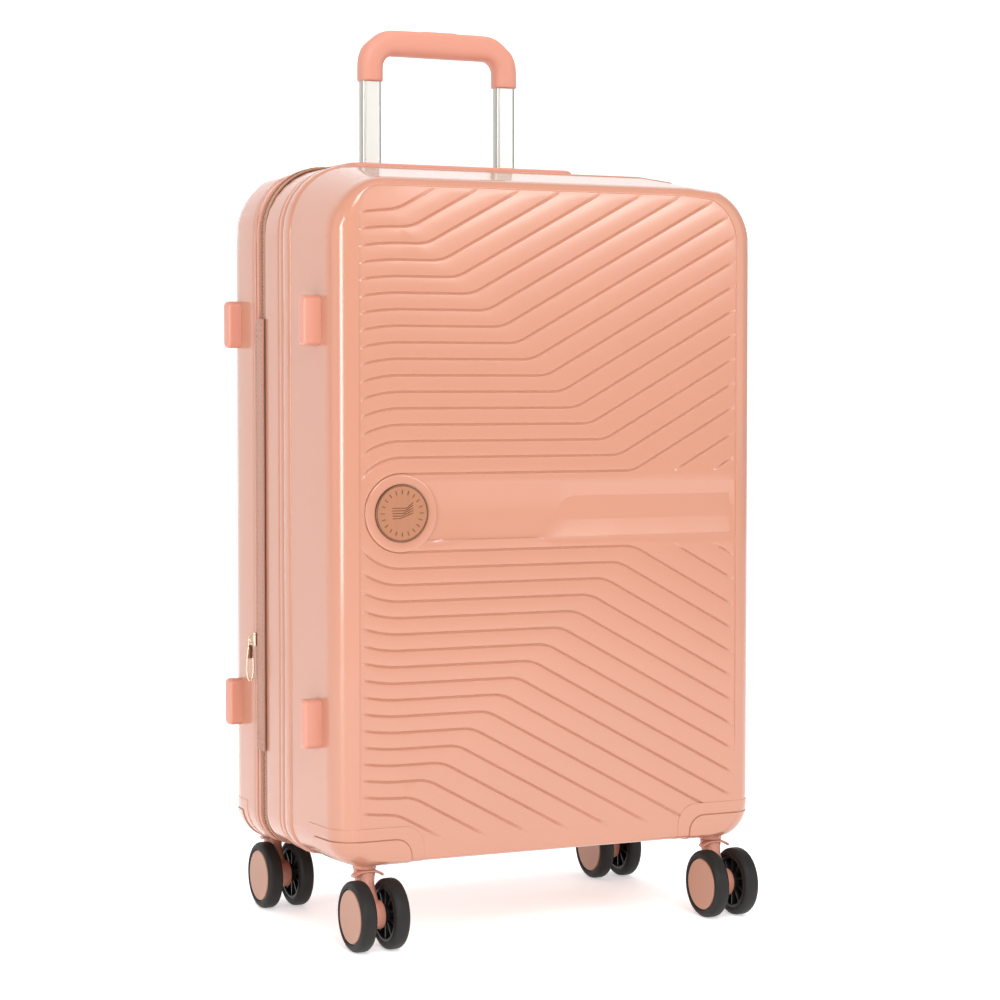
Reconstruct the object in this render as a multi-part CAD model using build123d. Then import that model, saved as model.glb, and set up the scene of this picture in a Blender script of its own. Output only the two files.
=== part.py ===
from build123d import *
import math
import os

# Hard shell suitcase on four twin-wheel swivel casters, in millimetres.
# +Z is up, the grooved front faces -Y and the fabric hinge is on the -X side.
# Depths (Y) are first measured from the middle of the case, and every piece is
# moved at the end so that the origin is the bottom centre of the bounding box.

# Case outline: half width, lowest and highest wall, and corner radii
CASE_LOW = 66.0
CASE_HIGH = 670.0
CASE_MID = (CASE_LOW + CASE_HIGH) / 2
TOP_RADIUS = 60.0
BOTTOM_RADIUS = 30.0
WALL = 2.5
EDGE_STEPS = 4
BEYOND = 5.0

# Back shell: where it starts, where its edge starts to turn, and its back face
BACK_START = 46.5
BACK_TURN = 87.0
BACK_FACE = 128.0
BACK_HALF_WIDTH = 208.0
BACK_EDGE_INSET = 40.0
BACK_TOP_TIGHTENING = 0.6
BACK_BOTTOM_TIGHTENING = 0.3

# Front shell: skirt end, where its edge starts to turn, and its front face
SKIRT_END = 26.0
SKIRT_HALF_WIDTH = 207.0
SKIRT_LOW = 68.0
SKIRT_HIGH = 667.0
FRONT_TURN = -105.0
FRONT_FACE = -128.0
FRONT_HALF_WIDTH = 204.0
FRONT_LOW = 70.0
FRONT_HIGH = 652.0
FRONT_SIDE_INSET = 21.0
FRONT_TOP_INSET = 9.0
FRONT_BOTTOM_INSET = 6.0
FRONT_TOP_TIGHTENING = 10.0
FRONT_BOTTOM_TIGHTENING = 12.0

# Bands between the shells: main zip, middle frame and expander zip
ZIP_MIDDLE = 33.2
FRAME_START = 40.3
FRAME_END = 44.0
EXPANDER_ZIP_END = 46.2
BAND_GAP = 0.3
TAPE_THICKNESS = 1.4
TAPE_RECESS = 1.2
GUSSET_END = 79.0
GUSSET_GAP = 0.4
GUSSET_THICKNESS = 1.2

# Linings
LINING_THICKNESS = 1.2
LINING_INSET = 4.9
BACK_LINING_FLOOR = 101.0
BACK_LINING_TAPER = 7.0
FRONT_LINING_INSET = 3.4
LINING_CLEARANCE = 0.5
STRAP_WIDTH = 25.0
STRAP_THICKNESS = 1.5
STRAP_REACH = (200.0, 145.0)
STRAP_LENGTH = 235.0
BUCKLE_HALF = 28.0
BUCKLE_THICKNESS = 6.0
POCKET_HALF_WIDTH = 150.0
POCKET_HEIGHTS = (125.0, 360.0)
POCKET_THICKNESS = 3.0

# Fabric hinge panel on the left wall, with one fold line at each long edge
PANEL_FRONT_FOLD = 25.0
PANEL_BACK_FOLD = 42.0
PANEL_OUTER = 209.6
PANEL_THICKNESS = 1.6
PANEL_LOW = 152.0
PANEL_HIGH = 534.0

# Side feet that the case lies down on
FOOT_REACH = 220.0
FOOT_DEPTH = 90.0
FOOT_WIDTH = 14.0
FOOT_LENGTH = 42.0
FOOT_HEIGHTS = (190.0, 530.0)
FOOT_ROOT = 195.0

# Round badge on the front
BADGE_X = -144.0
BADGE_RADIUS = 24.5
BADGE_THICKNESS = 2.4
BADGE_SUNK = 1.0

# Casters
KINGPIN_X = 170.0
KINGPIN_DEPTH = 107.0
KINGPIN_RADIUS = 4.0
KINGPIN_TOP = 86.0
TRAIL = 20.0
WHEEL_RADIUS = 30.0
WHEEL_WIDTH = 14.0
WHEEL_OFFSET = 15.0
TYRE_INNER = 23.3
AXLE_RADIUS = 3.0
AXLE_HALF_LENGTH = 20.0
RUNNING_GAP = 0.05
HOUSING_INNER_X = 136.0
HOUSING_INNER_DEPTH = 82.0
HOUSING_TOP = 92.0
FORK_TOP = 65.5
FORK_HEAD_RADIUS = 10.0
FORK_HEAD_LOW = 54.0
KINGPIN_LOW = 49.0
FORK_LEG_HALF_WIDTH = 6.5
FORK_BOSS_RADIUS = 12.0
FIXED_FIT = 0.02
HUB_RIM = 3.0
HUB_BOSS_RADIUS = 8.0
TYRE_ROUNDING = 4.0

# Telescopic handle
TUBE_X = 69.0
TUBE_DEPTH = 112.0
GRIP_TUBE = (19.4, 11.4)
MIDDLE_TUBE = (23.0, 15.0)
GUIDE_TUBE = (26.6, 18.6)
TUBE_WALL = 1.4
TUBE_CORNER = 3.5
GUIDE_LOW = 100.0
GUIDE_HIGH = 639.8
MIDDLE_LOW = 112.0
GRIP_TUBE_LOW = 205.0
GRIP_LOW = 757.0
GRIP_HIGH = 805.0
GRIP_HALF_WIDTH = 82.0
GRIP_INNER_HALF_WIDTH = 57.5
GRIP_UNDERSIDE = 777.0
GRIP_THICKNESS = 20.0
GRIP_POCKET = 16.0
BUTTON_DEPTH = 6.0
BUTTON_TRAVEL = 4.0
BUTTON_HALF_LENGTH = 18.0
BUTTON_HALF_DEPTH = 6.0
GRIP_OUTER_RADIUS = 28.0
GRIP_INNER_RADIUS = 9.0
GRIP_ROUNDING = 3.0

# Bezel on top, with its inner block that the handles slide in
BEZEL_HALF_WIDTH = 115.0
BEZEL_FRONT = 50.0
BEZEL_BACK = 125.0
BEZEL_TOP = 677.0
BEZEL_RADIUS = 14.0
BLOCK_HALF_WIDTH = 106.0
BLOCK_FRONT = 81.0
BLOCK_BACK = 121.0
BLOCK_LOW = 640.0
SLIDE_GAP = 0.4
FIT_GAP = 0.2

# Carry handles: a plate on two legs that slide out of the case
HANDLE_HALF_LENGTH = 66.0
HANDLE_FRONT = 56.0
HANDLE_BACK = 94.0
HANDLE_THICKNESS = 4.5
LEG_WIDTH = 8.0
LEG_DEPTH = 10.0
LEG_LENGTH = 26.0
SIDE_HANDLE_REACH = 220.0
SIDE_PLATE_FRONT = 62.0
CUP_INNER = 178.0
CUP_BACK = 97.0
CUP_HALF_HEIGHT = 72.0

# Combination lock on the right wall
LOCK_LOW = 330.0
LOCK_HIGH = 406.0
LOCK_FRONT = -4.0
LOCK_BACK = 24.0
LOCK_OUTER = 211.5
LOCK_INNER = 204.4
DIAL_RADIUS = 4.0
DIAL_WIDTH = 4.0
DIAL_X = 208.3
DIAL_Y = 8.0
DIAL_HEIGHTS = (372.0, 382.0, 392.0)
RELEASE_LOW = 346.0
RELEASE_LENGTH = 10.0
RELEASE_TRAVEL = 4.0
PULLER_HEIGHTS = (338.0, 398.0)

# Expander zip slider and its pull, on the left wall
SLIDER_Z = 250.0
PULL_X = -214.8
PULL_LENGTH = 40.0
PULL_HALF_DEPTH = 2.0
SLIDER_DEPTH = 3.9
SLIDER_REACH = 4.6
EYE_REACH = 10.6
SLIDER_GAP = 1.6
EYE_HALF_WIDTH = 0.8
EYE_HALF_HEIGHT = 3.0
SLIDER_HALF_LENGTH = 6.0

REACH_FRONT = KINGPIN_DEPTH + TRAIL + WHEEL_RADIUS
BODY_Y = (REACH_FRONT - BACK_FACE) / 2

SIDES = {"left": -1, "right": 1}


def span(x0, x1, y0, y1, z0, z1):
    """A box between two corners."""
    size = Box(x1 - x0, y1 - y0, z1 - z0)
    return Pos((x0 + x1) / 2, (y0 + y1) / 2, (z0 + z1) / 2) * size


def rod(x, y, z0, z1, radius):
    """An upright cylinder."""
    return Pos(x, y, (z0 + z1) / 2) * Cylinder(radius, z1 - z0)


def cross_rod(x0, x1, y, z, radius):
    """A cylinder that lies along X."""
    return Pos((x0 + x1) / 2, y, z) * Rot(0, 90, 0) * Cylinder(radius, x1 - x0)


def group(shapes):
    """Separate solids that share one node."""
    return Compound([solid for shape in shapes for solid in shape.solids()])


def section(y, half_width, low, high, top_radius, bottom_radius):
    """A rounded rectangle that stands across the case at depth y."""
    plane = Plane(origin=(0, y, (low + high) / 2), x_dir=(1, 0, 0), z_dir=(0, -1, 0))
    face = plane * Rectangle(2 * half_width, high - low)
    face = fillet(face.vertices().group_by(Axis.Z)[-1], top_radius)
    return fillet(face.vertices().group_by(Axis.Z)[0], bottom_radius)


def back_form(inset, end, start=BACK_START):
    """The back shell's outer form, drawn in by an inset, from its mouth to its back face."""
    turn = BACK_EDGE_INSET - inset
    rows = [section(start, BACK_HALF_WIDTH - inset, CASE_LOW + inset, CASE_HIGH - inset,
                    TOP_RADIUS - inset, BOTTOM_RADIUS - inset)]
    for step in range(EDGE_STEPS + 1):
        angle = math.radians(90 * step / EDGE_STEPS)
        drawn = inset + turn * (1 - math.cos(angle))
        depth = BACK_TURN + (end - BACK_TURN) * math.sin(angle)
        rows.append(section(depth, BACK_HALF_WIDTH - drawn, CASE_LOW + drawn, CASE_HIGH - drawn,
                            TOP_RADIUS - inset - BACK_TOP_TIGHTENING * (drawn - inset),
                            BOTTOM_RADIUS - inset - BACK_BOTTOM_TIGHTENING * (drawn - inset)))
    return loft(rows, ruled=True)


def front_form(inset, end, start=SKIRT_END):
    """The front shell's outer form, drawn in by an inset, from its skirt to its front face."""
    rows = [section(start, SKIRT_HALF_WIDTH - inset, SKIRT_LOW + inset, SKIRT_HIGH - inset,
                    TOP_RADIUS - inset, BOTTOM_RADIUS - inset)]
    for step in range(EDGE_STEPS + 1):
        angle = math.radians(90 * step / EDGE_STEPS)
        part = 1 - math.cos(angle)
        depth = FRONT_TURN + (end - FRONT_TURN) * math.sin(angle)
        rows.append(section(depth, FRONT_HALF_WIDTH - inset - FRONT_SIDE_INSET * part,
                            FRONT_LOW + inset + FRONT_BOTTOM_INSET * part,
                            FRONT_HIGH - inset - FRONT_TOP_INSET * part,
                            TOP_RADIUS - inset - FRONT_TOP_TIGHTENING - FRONT_SIDE_INSET * part,
                            BOTTOM_RADIUS - inset - FRONT_BOTTOM_TIGHTENING * part))
    return loft(rows, ruled=True)


def band(start, end, inset, thickness):
    """A closed band round the case, such as a zip tape, between two depths."""
    outer = section(start, BACK_HALF_WIDTH - inset, CASE_LOW + inset, CASE_HIGH - inset,
                    TOP_RADIUS - inset, BOTTOM_RADIUS - inset)
    inner = section(start, BACK_HALF_WIDTH - inset - thickness, CASE_LOW + inset + thickness,
                    CASE_HIGH - inset - thickness, TOP_RADIUS - inset - thickness,
                    BOTTOM_RADIUS - inset - thickness)
    return extrude(outer - inner, amount=end - start, dir=(0, 1, 0))


def corner_room(side, front, gap=0.0):
    """The box at one bottom corner that a caster housing fills."""
    x = sorted((side * (HOUSING_INNER_X + gap), side * (BACK_HALF_WIDTH + BEYOND)))
    outer = BACK_FACE + BEYOND
    inner = HOUSING_INNER_DEPTH + gap
    y = (-outer, -inner) if front else (inner, outer)
    return span(*x, *y, CASE_LOW - BEYOND, HOUSING_TOP - gap)


def handle_block(gap=0.0):
    """The block under the bezel that reaches into the case."""
    return span(-BLOCK_HALF_WIDTH - gap, BLOCK_HALF_WIDTH + gap, BLOCK_FRONT - gap, BLOCK_BACK + gap,
                BLOCK_LOW - gap, CASE_HIGH)


def side_cup(gap=0.0):
    """The pocket behind the right wall that the side handle's legs slide in."""
    return span(CUP_INNER - gap, BACK_HALF_WIDTH - WALL - GUSSET_GAP, BLOCK_FRONT - gap, CUP_BACK + gap,
                CASE_MID - CUP_HALF_HEIGHT - gap, CASE_MID + CUP_HALF_HEIGHT + gap)


def lock_room(gap=0.0):
    """The window in the right wall that the lock fills."""
    return span(LOCK_INNER - BEYOND, LOCK_OUTER + BEYOND, LOCK_FRONT - gap, LOCK_BACK + gap,
                LOCK_LOW - gap, LOCK_HIGH + gap)


def side_leg_slots():
    """Room for the side handle's two legs to slide through the right wall."""
    slots = []
    for leg in (-1, 1):
        middle = CASE_MID + leg * (HANDLE_HALF_LENGTH - LEG_WIDTH / 2)
        half = LEG_WIDTH / 2 + SLIDE_GAP
        slots.append(span(SIDE_HANDLE_REACH - HANDLE_THICKNESS - LEG_LENGTH - 1, BACK_HALF_WIDTH + BEYOND,
                          HANDLE_BACK - LEG_DEPTH - SLIDE_GAP, HANDLE_BACK + SLIDE_GAP,
                          middle - half, middle + half))
    return slots[0] + slots[1]


def make_back_shell():
    shell = back_form(0, BACK_FACE) - back_form(WALL, BACK_FACE - WALL, BACK_START - 1)
    for side in SIDES.values():
        shell -= corner_room(side, front=False)
    gap = FIT_GAP
    shell -= span(-BLOCK_HALF_WIDTH - gap, BLOCK_HALF_WIDTH + gap, BLOCK_FRONT - gap, BLOCK_BACK + gap,
                  BLOCK_LOW, CASE_HIGH + BEYOND)
    return shell - side_leg_slots()


def make_back_lining():
    inset = LINING_INSET
    outer = section(BACK_START, BACK_HALF_WIDTH - inset, CASE_LOW + inset, CASE_HIGH - inset,
                    TOP_RADIUS - inset, BOTTOM_RADIUS - inset)
    floor_inset = inset + BACK_LINING_TAPER
    floor = section(BACK_LINING_FLOOR, BACK_HALF_WIDTH - floor_inset, CASE_LOW + floor_inset,
                    CASE_HIGH - floor_inset, TOP_RADIUS - floor_inset, BOTTOM_RADIUS - floor_inset)
    tray = loft([outer, floor], ruled=True)
    hollow_in = inset + LINING_THICKNESS
    mouth = section(BACK_START - 0.1, BACK_HALF_WIDTH - hollow_in, CASE_LOW + hollow_in, CASE_HIGH - hollow_in,
                    TOP_RADIUS - hollow_in, BOTTOM_RADIUS - hollow_in)
    deep_in = floor_inset + LINING_THICKNESS
    base = section(BACK_LINING_FLOOR - LINING_THICKNESS, BACK_HALF_WIDTH - deep_in, CASE_LOW + deep_in,
                   CASE_HIGH - deep_in, TOP_RADIUS - deep_in, BOTTOM_RADIUS - deep_in)
    tray -= loft([mouth, base], ruled=True)
    tray -= handle_block(LINING_CLEARANCE) + side_cup(LINING_CLEARANCE)
    for side in SIDES.values():
        tray -= corner_room(side, front=False, gap=-LINING_CLEARANCE)
    return tray


def make_packing_straps():
    """Four straps that run from the tray's corners to a buckle in the middle."""
    depth = BACK_LINING_FLOOR - LINING_THICKNESS - 0.1
    straps = []
    for side in SIDES.values():
        for rise in (-1, 1):
            lean = math.degrees(math.atan2(rise * STRAP_REACH[0], side * STRAP_REACH[1]))
            strip = span(BUCKLE_HALF - 4, STRAP_LENGTH, depth - STRAP_THICKNESS, depth,
                         -STRAP_WIDTH / 2, STRAP_WIDTH / 2)
            straps.append(Pos(0, 0, CASE_MID) * Rot(0, -lean, 0) * strip)
    buckle = span(-BUCKLE_HALF, BUCKLE_HALF, depth - BUCKLE_THICKNESS, depth,
                  CASE_MID - BUCKLE_HALF, CASE_MID + BUCKLE_HALF)
    buckle = fillet(buckle.edges().filter_by(Axis.Y), 8)
    return group([strap - buckle for strap in straps] + [buckle])


def make_expander_zip():
    """The closed expander zip with its slider and the eye that holds the pull."""
    zipper = band(FRAME_END + 0.1, EXPANDER_ZIP_END, TAPE_RECESS, TAPE_THICKNESS)
    wall = -BACK_HALF_WIDTH + TAPE_RECESS
    middle = (FRAME_END + EXPANDER_ZIP_END) / 2
    half = SLIDER_DEPTH / 2
    slider = span(wall - SLIDER_REACH, wall - SLIDER_GAP, middle - half, middle + half,
                  SLIDER_Z - SLIDER_HALF_LENGTH, SLIDER_Z + SLIDER_HALF_LENGTH)
    slider += span(wall - SLIDER_GAP, wall, middle - 0.8, middle + 0.8, SLIDER_Z - 4, SLIDER_Z + 4)
    slider += span(wall - EYE_REACH, wall - SLIDER_REACH, middle - EYE_HALF_WIDTH, middle + EYE_HALF_WIDTH,
                   SLIDER_Z - EYE_HALF_HEIGHT, SLIDER_Z + EYE_HALF_HEIGHT)
    slider -= Pos(PULL_X, middle, SLIDER_Z) * Rot(90, 0, 0) * Cylinder(1.4, 4)
    return group([zipper, slider])


def make_expander_pull():
    """A pear-shaped loop on a pin, hung from the slider's eye."""
    middle = (FRAME_END + EXPANDER_ZIP_END) / 2
    plane = Plane(origin=(PULL_X, middle - PULL_HALF_DEPTH, SLIDER_Z), x_dir=(1, 0, 0), z_dir=(0, 1, 0))
    outer = make_hull((Circle(2.4) + Pos(0, PULL_LENGTH - 6) * Circle(5)).edges())
    inner = make_hull((Pos(0, 5) * Circle(1.0) + Pos(0, PULL_LENGTH - 6) * Circle(3.6)).edges())
    loop = extrude(plane * (outer - inner), amount=2 * PULL_HALF_DEPTH)
    loop -= span(PULL_X - 8, PULL_X + 8, middle - 1.1, middle + 1.1, SLIDER_Z - 8, SLIDER_Z + 5)
    pin = Pos(PULL_X, middle, SLIDER_Z) * Rot(90, 0, 0) * Cylinder(1.3, 2 * PULL_HALF_DEPTH)
    return loop + pin


def make_trolley_bezel():
    """The cover on top, with slots for the tubes and for the carry handle."""
    width = 2 * BEZEL_HALF_WIDTH
    middle = (BEZEL_FRONT + BEZEL_BACK) / 2
    cover = Pos(0, middle, BLOCK_LOW) * extrude(RectangleRounded(width, BEZEL_BACK - BEZEL_FRONT, BEZEL_RADIUS),
                                                BEZEL_TOP - BLOCK_LOW)
    cover = fillet(cover.edges().group_by(Axis.Z)[-1], 4)
    cover -= back_form(0, BACK_FACE, BACK_START - 1)
    bezel = cover + handle_block()
    for side in SIDES.values():
        slot = RectangleRounded(MIDDLE_TUBE[0] + 2 * SLIDE_GAP, MIDDLE_TUBE[1] + 2 * SLIDE_GAP,
                                TUBE_CORNER + SLIDE_GAP)
        height = BEZEL_TOP - BLOCK_LOW + 4 * BEYOND
        bezel -= Pos(side * TUBE_X, TUBE_DEPTH, BLOCK_LOW - BEYOND) * extrude(slot, height)
    half = HANDLE_HALF_LENGTH + SLIDE_GAP
    bezel -= span(-half, half, HANDLE_FRONT - SLIDE_GAP, HANDLE_BACK + SLIDE_GAP,
                  CASE_HIGH + 1.5, BEZEL_TOP + 1)
    bezel -= span(-half, half, HANDLE_BACK - LEG_DEPTH - SLIDE_GAP, HANDLE_BACK + SLIDE_GAP,
                  BEZEL_TOP - LEG_LENGTH - HANDLE_THICKNESS - 1, BEZEL_TOP + 1)
    return bezel


def tube_pair(size, low, high):
    """Two upright rectangular tubes with rounded corners."""
    outer = RectangleRounded(size[0], size[1], TUBE_CORNER)
    inner = RectangleRounded(size[0] - 2 * TUBE_WALL, size[1] - 2 * TUBE_WALL, TUBE_CORNER - TUBE_WALL)
    return [Pos(side * TUBE_X, TUBE_DEPTH, low) * extrude(outer - inner, high - low) for side in SIDES.values()]


def make_foot_bracket():
    """The bracket that holds the guide tubes at the bottom of the back shell."""
    half = TUBE_X + GUIDE_TUBE[0] / 2 + 6
    front = TUBE_DEPTH - GUIDE_TUBE[1] / 2
    return span(-half, half, front, front + GUIDE_TUBE[1], GUIDE_LOW - 6, GUIDE_LOW)


def make_grip():
    """The arch-shaped grip, with a pocket in each leg for its tube."""
    plane = Plane(origin=(0, TUBE_DEPTH - GRIP_THICKNESS / 2, 0), x_dir=(1, 0, 0), z_dir=(0, -1, 0))
    outer = Pos(0, (GRIP_LOW + GRIP_HIGH) / 2) * Rectangle(2 * GRIP_HALF_WIDTH, GRIP_HIGH - GRIP_LOW)
    outer = fillet(outer.vertices().group_by(Axis.Y)[-1], GRIP_OUTER_RADIUS)
    gap = Rectangle(2 * GRIP_INNER_HALF_WIDTH, GRIP_UNDERSIDE - GRIP_LOW + 2)
    inner = Pos(0, (GRIP_LOW + GRIP_UNDERSIDE) / 2 - 1) * gap
    inner = fillet(inner.vertices().group_by(Axis.Y)[-1], GRIP_INNER_RADIUS)
    arch = extrude(plane * (outer - inner), amount=-GRIP_THICKNESS)
    bent = arch.edges().filter_by(Axis.Y, reverse=True).filter_by(Axis.X, reverse=True)
    arch = fillet(bent.filter_by(GeomType.LINE, reverse=True), GRIP_ROUNDING)
    for side in SIDES.values():
        arch -= Pos(side * TUBE_X, TUBE_DEPTH, GRIP_LOW - 1) * extrude(
            RectangleRounded(GRIP_TUBE[0], GRIP_TUBE[1], TUBE_CORNER), GRIP_POCKET + 1)
    return arch - span(-BUTTON_HALF_LENGTH, BUTTON_HALF_LENGTH, TUBE_DEPTH - BUTTON_HALF_DEPTH,
                       TUBE_DEPTH + BUTTON_HALF_DEPTH, GRIP_HIGH - BUTTON_DEPTH - BUTTON_TRAVEL, GRIP_HIGH + 1)


def make_grip_button():
    """The push button in the grip's top that frees the tubes."""
    half_length = BUTTON_HALF_LENGTH - BAND_GAP
    half_depth = BUTTON_HALF_DEPTH - BAND_GAP
    key = span(-half_length, half_length, TUBE_DEPTH - half_depth, TUBE_DEPTH + half_depth,
               GRIP_HIGH - BUTTON_DEPTH, GRIP_HIGH)
    return fillet(key.edges().filter_by(Axis.Z), 4)


def make_top_handle():
    """The top carry handle: a plate on two legs."""
    plate = span(-HANDLE_HALF_LENGTH, HANDLE_HALF_LENGTH, HANDLE_FRONT, HANDLE_BACK,
                 BEZEL_TOP - HANDLE_THICKNESS, BEZEL_TOP)
    plate = fillet(plate.edges().filter_by(Axis.Z), 6)
    for side in SIDES.values():
        x = sorted((side * HANDLE_HALF_LENGTH, side * (HANDLE_HALF_LENGTH - LEG_WIDTH)))
        plate += span(*x, HANDLE_BACK - LEG_DEPTH, HANDLE_BACK,
                      BEZEL_TOP - HANDLE_THICKNESS - LEG_LENGTH, BEZEL_TOP - HANDLE_THICKNESS)
    return plate


def make_side_handle():
    """The side carry handle: the same plate on two legs, on the right wall."""
    outer = SIDE_HANDLE_REACH
    plate = span(outer - HANDLE_THICKNESS, outer, SIDE_PLATE_FRONT, HANDLE_BACK,
                 CASE_MID - HANDLE_HALF_LENGTH, CASE_MID + HANDLE_HALF_LENGTH)
    plate = fillet(plate.edges().filter_by(Axis.X), 8)
    for leg in (-1, 1):
        middle = CASE_MID + leg * (HANDLE_HALF_LENGTH - LEG_WIDTH / 2)
        plate += span(outer - HANDLE_THICKNESS - LEG_LENGTH, outer - HANDLE_THICKNESS,
                      HANDLE_BACK - LEG_DEPTH, HANDLE_BACK, middle - LEG_WIDTH / 2, middle + LEG_WIDTH / 2)
    return plate


def make_side_cup():
    """The cup that holds the side handle's legs behind the wall."""
    behind_wall = WALL + GUSSET_GAP
    cup = side_cup() & back_form(behind_wall, BACK_FACE - behind_wall, BACK_START - 1)
    return cup - side_leg_slots()


def make_mid_frame():
    return band(FRAME_START, FRAME_END, 0.6, 3.0)


def make_gusset():
    """The sleeve that shows when the case is expanded."""
    return band(FRAME_END, GUSSET_END, WALL + GUSSET_GAP, GUSSET_THICKNESS)


def make_hinge_panel():
    """The fabric strip that joins the front shell to the middle frame."""
    return span(-PANEL_OUTER, -PANEL_OUTER + PANEL_THICKNESS, PANEL_FRONT_FOLD, PANEL_BACK_FOLD,
                PANEL_LOW, PANEL_HIGH)


def make_feet(depth, form):
    """Two feet on the left wall that the case lies on, cut to the wall behind them."""
    feet = []
    for height in FOOT_HEIGHTS:
        foot = span(-FOOT_REACH, -FOOT_ROOT, depth - FOOT_WIDTH / 2, depth + FOOT_WIDTH / 2,
                    height - FOOT_LENGTH / 2, height + FOOT_LENGTH / 2)
        foot = fillet(foot.edges().filter_by(Axis.X), 5)
        foot = fillet(foot.faces().sort_by(Axis.X)[0].edges(), 3)
        feet.append((foot - form).solids().sort_by(Axis.X)[0])
    return group(feet)


def make_front_shell():
    shell = front_form(0, FRONT_FACE) - front_form(WALL, FRONT_FACE + WALL, SKIRT_END + 1)
    for side in SIDES.values():
        shell -= corner_room(side, front=True)
    shell -= lock_room(FIT_GAP)
    seat = Cylinder(BADGE_RADIUS + FIT_GAP / 2, 2 * BADGE_SUNK)
    return shell - Pos(BADGE_X, FRONT_FACE, CASE_MID) * Rot(90, 0, 0) * seat


def make_front_lining():
    inset = FRONT_LINING_INSET
    lining = front_form(inset, FRONT_FACE + inset)
    hollow_in = inset + LINING_THICKNESS
    lining -= front_form(hollow_in, FRONT_FACE + hollow_in, SKIRT_END + 1)
    for side in SIDES.values():
        lining -= corner_room(side, front=True, gap=-LINING_CLEARANCE)
    return lining


def make_lid_pocket():
    """A flat pocket over the lower half of the front lining."""
    depth = FRONT_FACE + FRONT_LINING_INSET + LINING_THICKNESS
    return span(-POCKET_HALF_WIDTH, POCKET_HALF_WIDTH, depth + FIT_GAP, depth + FIT_GAP + POCKET_THICKNESS,
                *POCKET_HEIGHTS)


def make_badge():
    """The round badge, part sunk in the front face."""
    centre = Pos(BADGE_X, FRONT_FACE + BADGE_SUNK - BADGE_THICKNESS / 2, CASE_MID)
    disc = centre * Rot(90, 0, 0) * Cylinder(BADGE_RADIUS, BADGE_THICKNESS)
    return fillet(disc.edges().group_by(Axis.Y)[0], BADGE_THICKNESS / 3)


def make_lock_housing():
    """The lock body, with a slot for each dial and a track for the release button."""
    housing = span(LOCK_INNER, LOCK_OUTER, LOCK_FRONT, LOCK_BACK, LOCK_LOW, LOCK_HIGH)
    housing = fillet(housing.edges().filter_by(Axis.X), 6)
    reach = DIAL_RADIUS + BAND_GAP
    half = DIAL_WIDTH / 2 + BAND_GAP
    for height in DIAL_HEIGHTS:
        housing -= span(LOCK_INNER - 1, LOCK_OUTER + 1, DIAL_Y - reach, DIAL_Y + reach,
                        height - half, height + half)
    housing -= span(LOCK_OUTER - 3, LOCK_OUTER + 1, DIAL_Y - reach, DIAL_Y + reach, RELEASE_LOW - BAND_GAP,
                    RELEASE_LOW + RELEASE_LENGTH + RELEASE_TRAVEL + BAND_GAP)
    for height in PULLER_HEIGHTS:
        housing -= span(LOCK_OUTER - 3, LOCK_OUTER + 1, LOCK_BACK - 9, LOCK_BACK + 1, height - 4, height + 4)
    return housing


def make_zip_pullers():
    """Two zip sliders whose pulls plug into the lock."""
    pullers = []
    wall = BACK_HALF_WIDTH - TAPE_RECESS
    for height in PULLER_HEIGHTS:
        slider = span(wall + 0.1, wall + 3.2, SKIRT_END + 1, ZIP_MIDDLE - 0.3, height - 6, height + 6)
        plug = span(LOCK_OUTER - 2.9, LOCK_OUTER + 1, LOCK_BACK - 8.8, SKIRT_END + 1,
                    height - 3.8, height + 3.8)
        pullers.append(slider + plug)
    return group(pullers)


def make_dial(height):
    """One ribbed number wheel, turning about an upright axis."""
    wheel = rod(DIAL_X, DIAL_Y, height - DIAL_WIDTH / 2, height + DIAL_WIDTH / 2, DIAL_RADIUS)
    return fillet(wheel.edges(), 0.5)


def make_lock_release():
    key = span(LOCK_OUTER - 2.8, LOCK_OUTER + 1.2, DIAL_Y - DIAL_RADIUS, DIAL_Y + DIAL_RADIUS,
               RELEASE_LOW, RELEASE_LOW + RELEASE_LENGTH)
    return fillet(key.edges().filter_by(Axis.X), 1.5)


def make_housings(front, form):
    """The two caster housings at one end, shaped to the bottom corners, bored for their kingpins."""
    housings = []
    end = -1 if front else 1
    depth = end * KINGPIN_DEPTH
    for side in SIDES.values():
        x = side * KINGPIN_X
        block = (form & corner_room(side, front, gap=FIT_GAP)).solids()[0]
        block += rod(x, depth, FORK_TOP + 0.7, HOUSING_TOP - 2 * BEYOND, FORK_HEAD_RADIUS + 1)
        block -= rod(x, depth, CASE_LOW - BEYOND, KINGPIN_TOP, KINGPIN_RADIUS + FIXED_FIT)
        housings.append(block)
    return group(housings)


def make_kingpins(front):
    end = -1 if front else 1
    pins = [rod(side * KINGPIN_X, end * KINGPIN_DEPTH, KINGPIN_LOW, KINGPIN_TOP, KINGPIN_RADIUS)
            for side in SIDES.values()]
    return group(pins)


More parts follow.
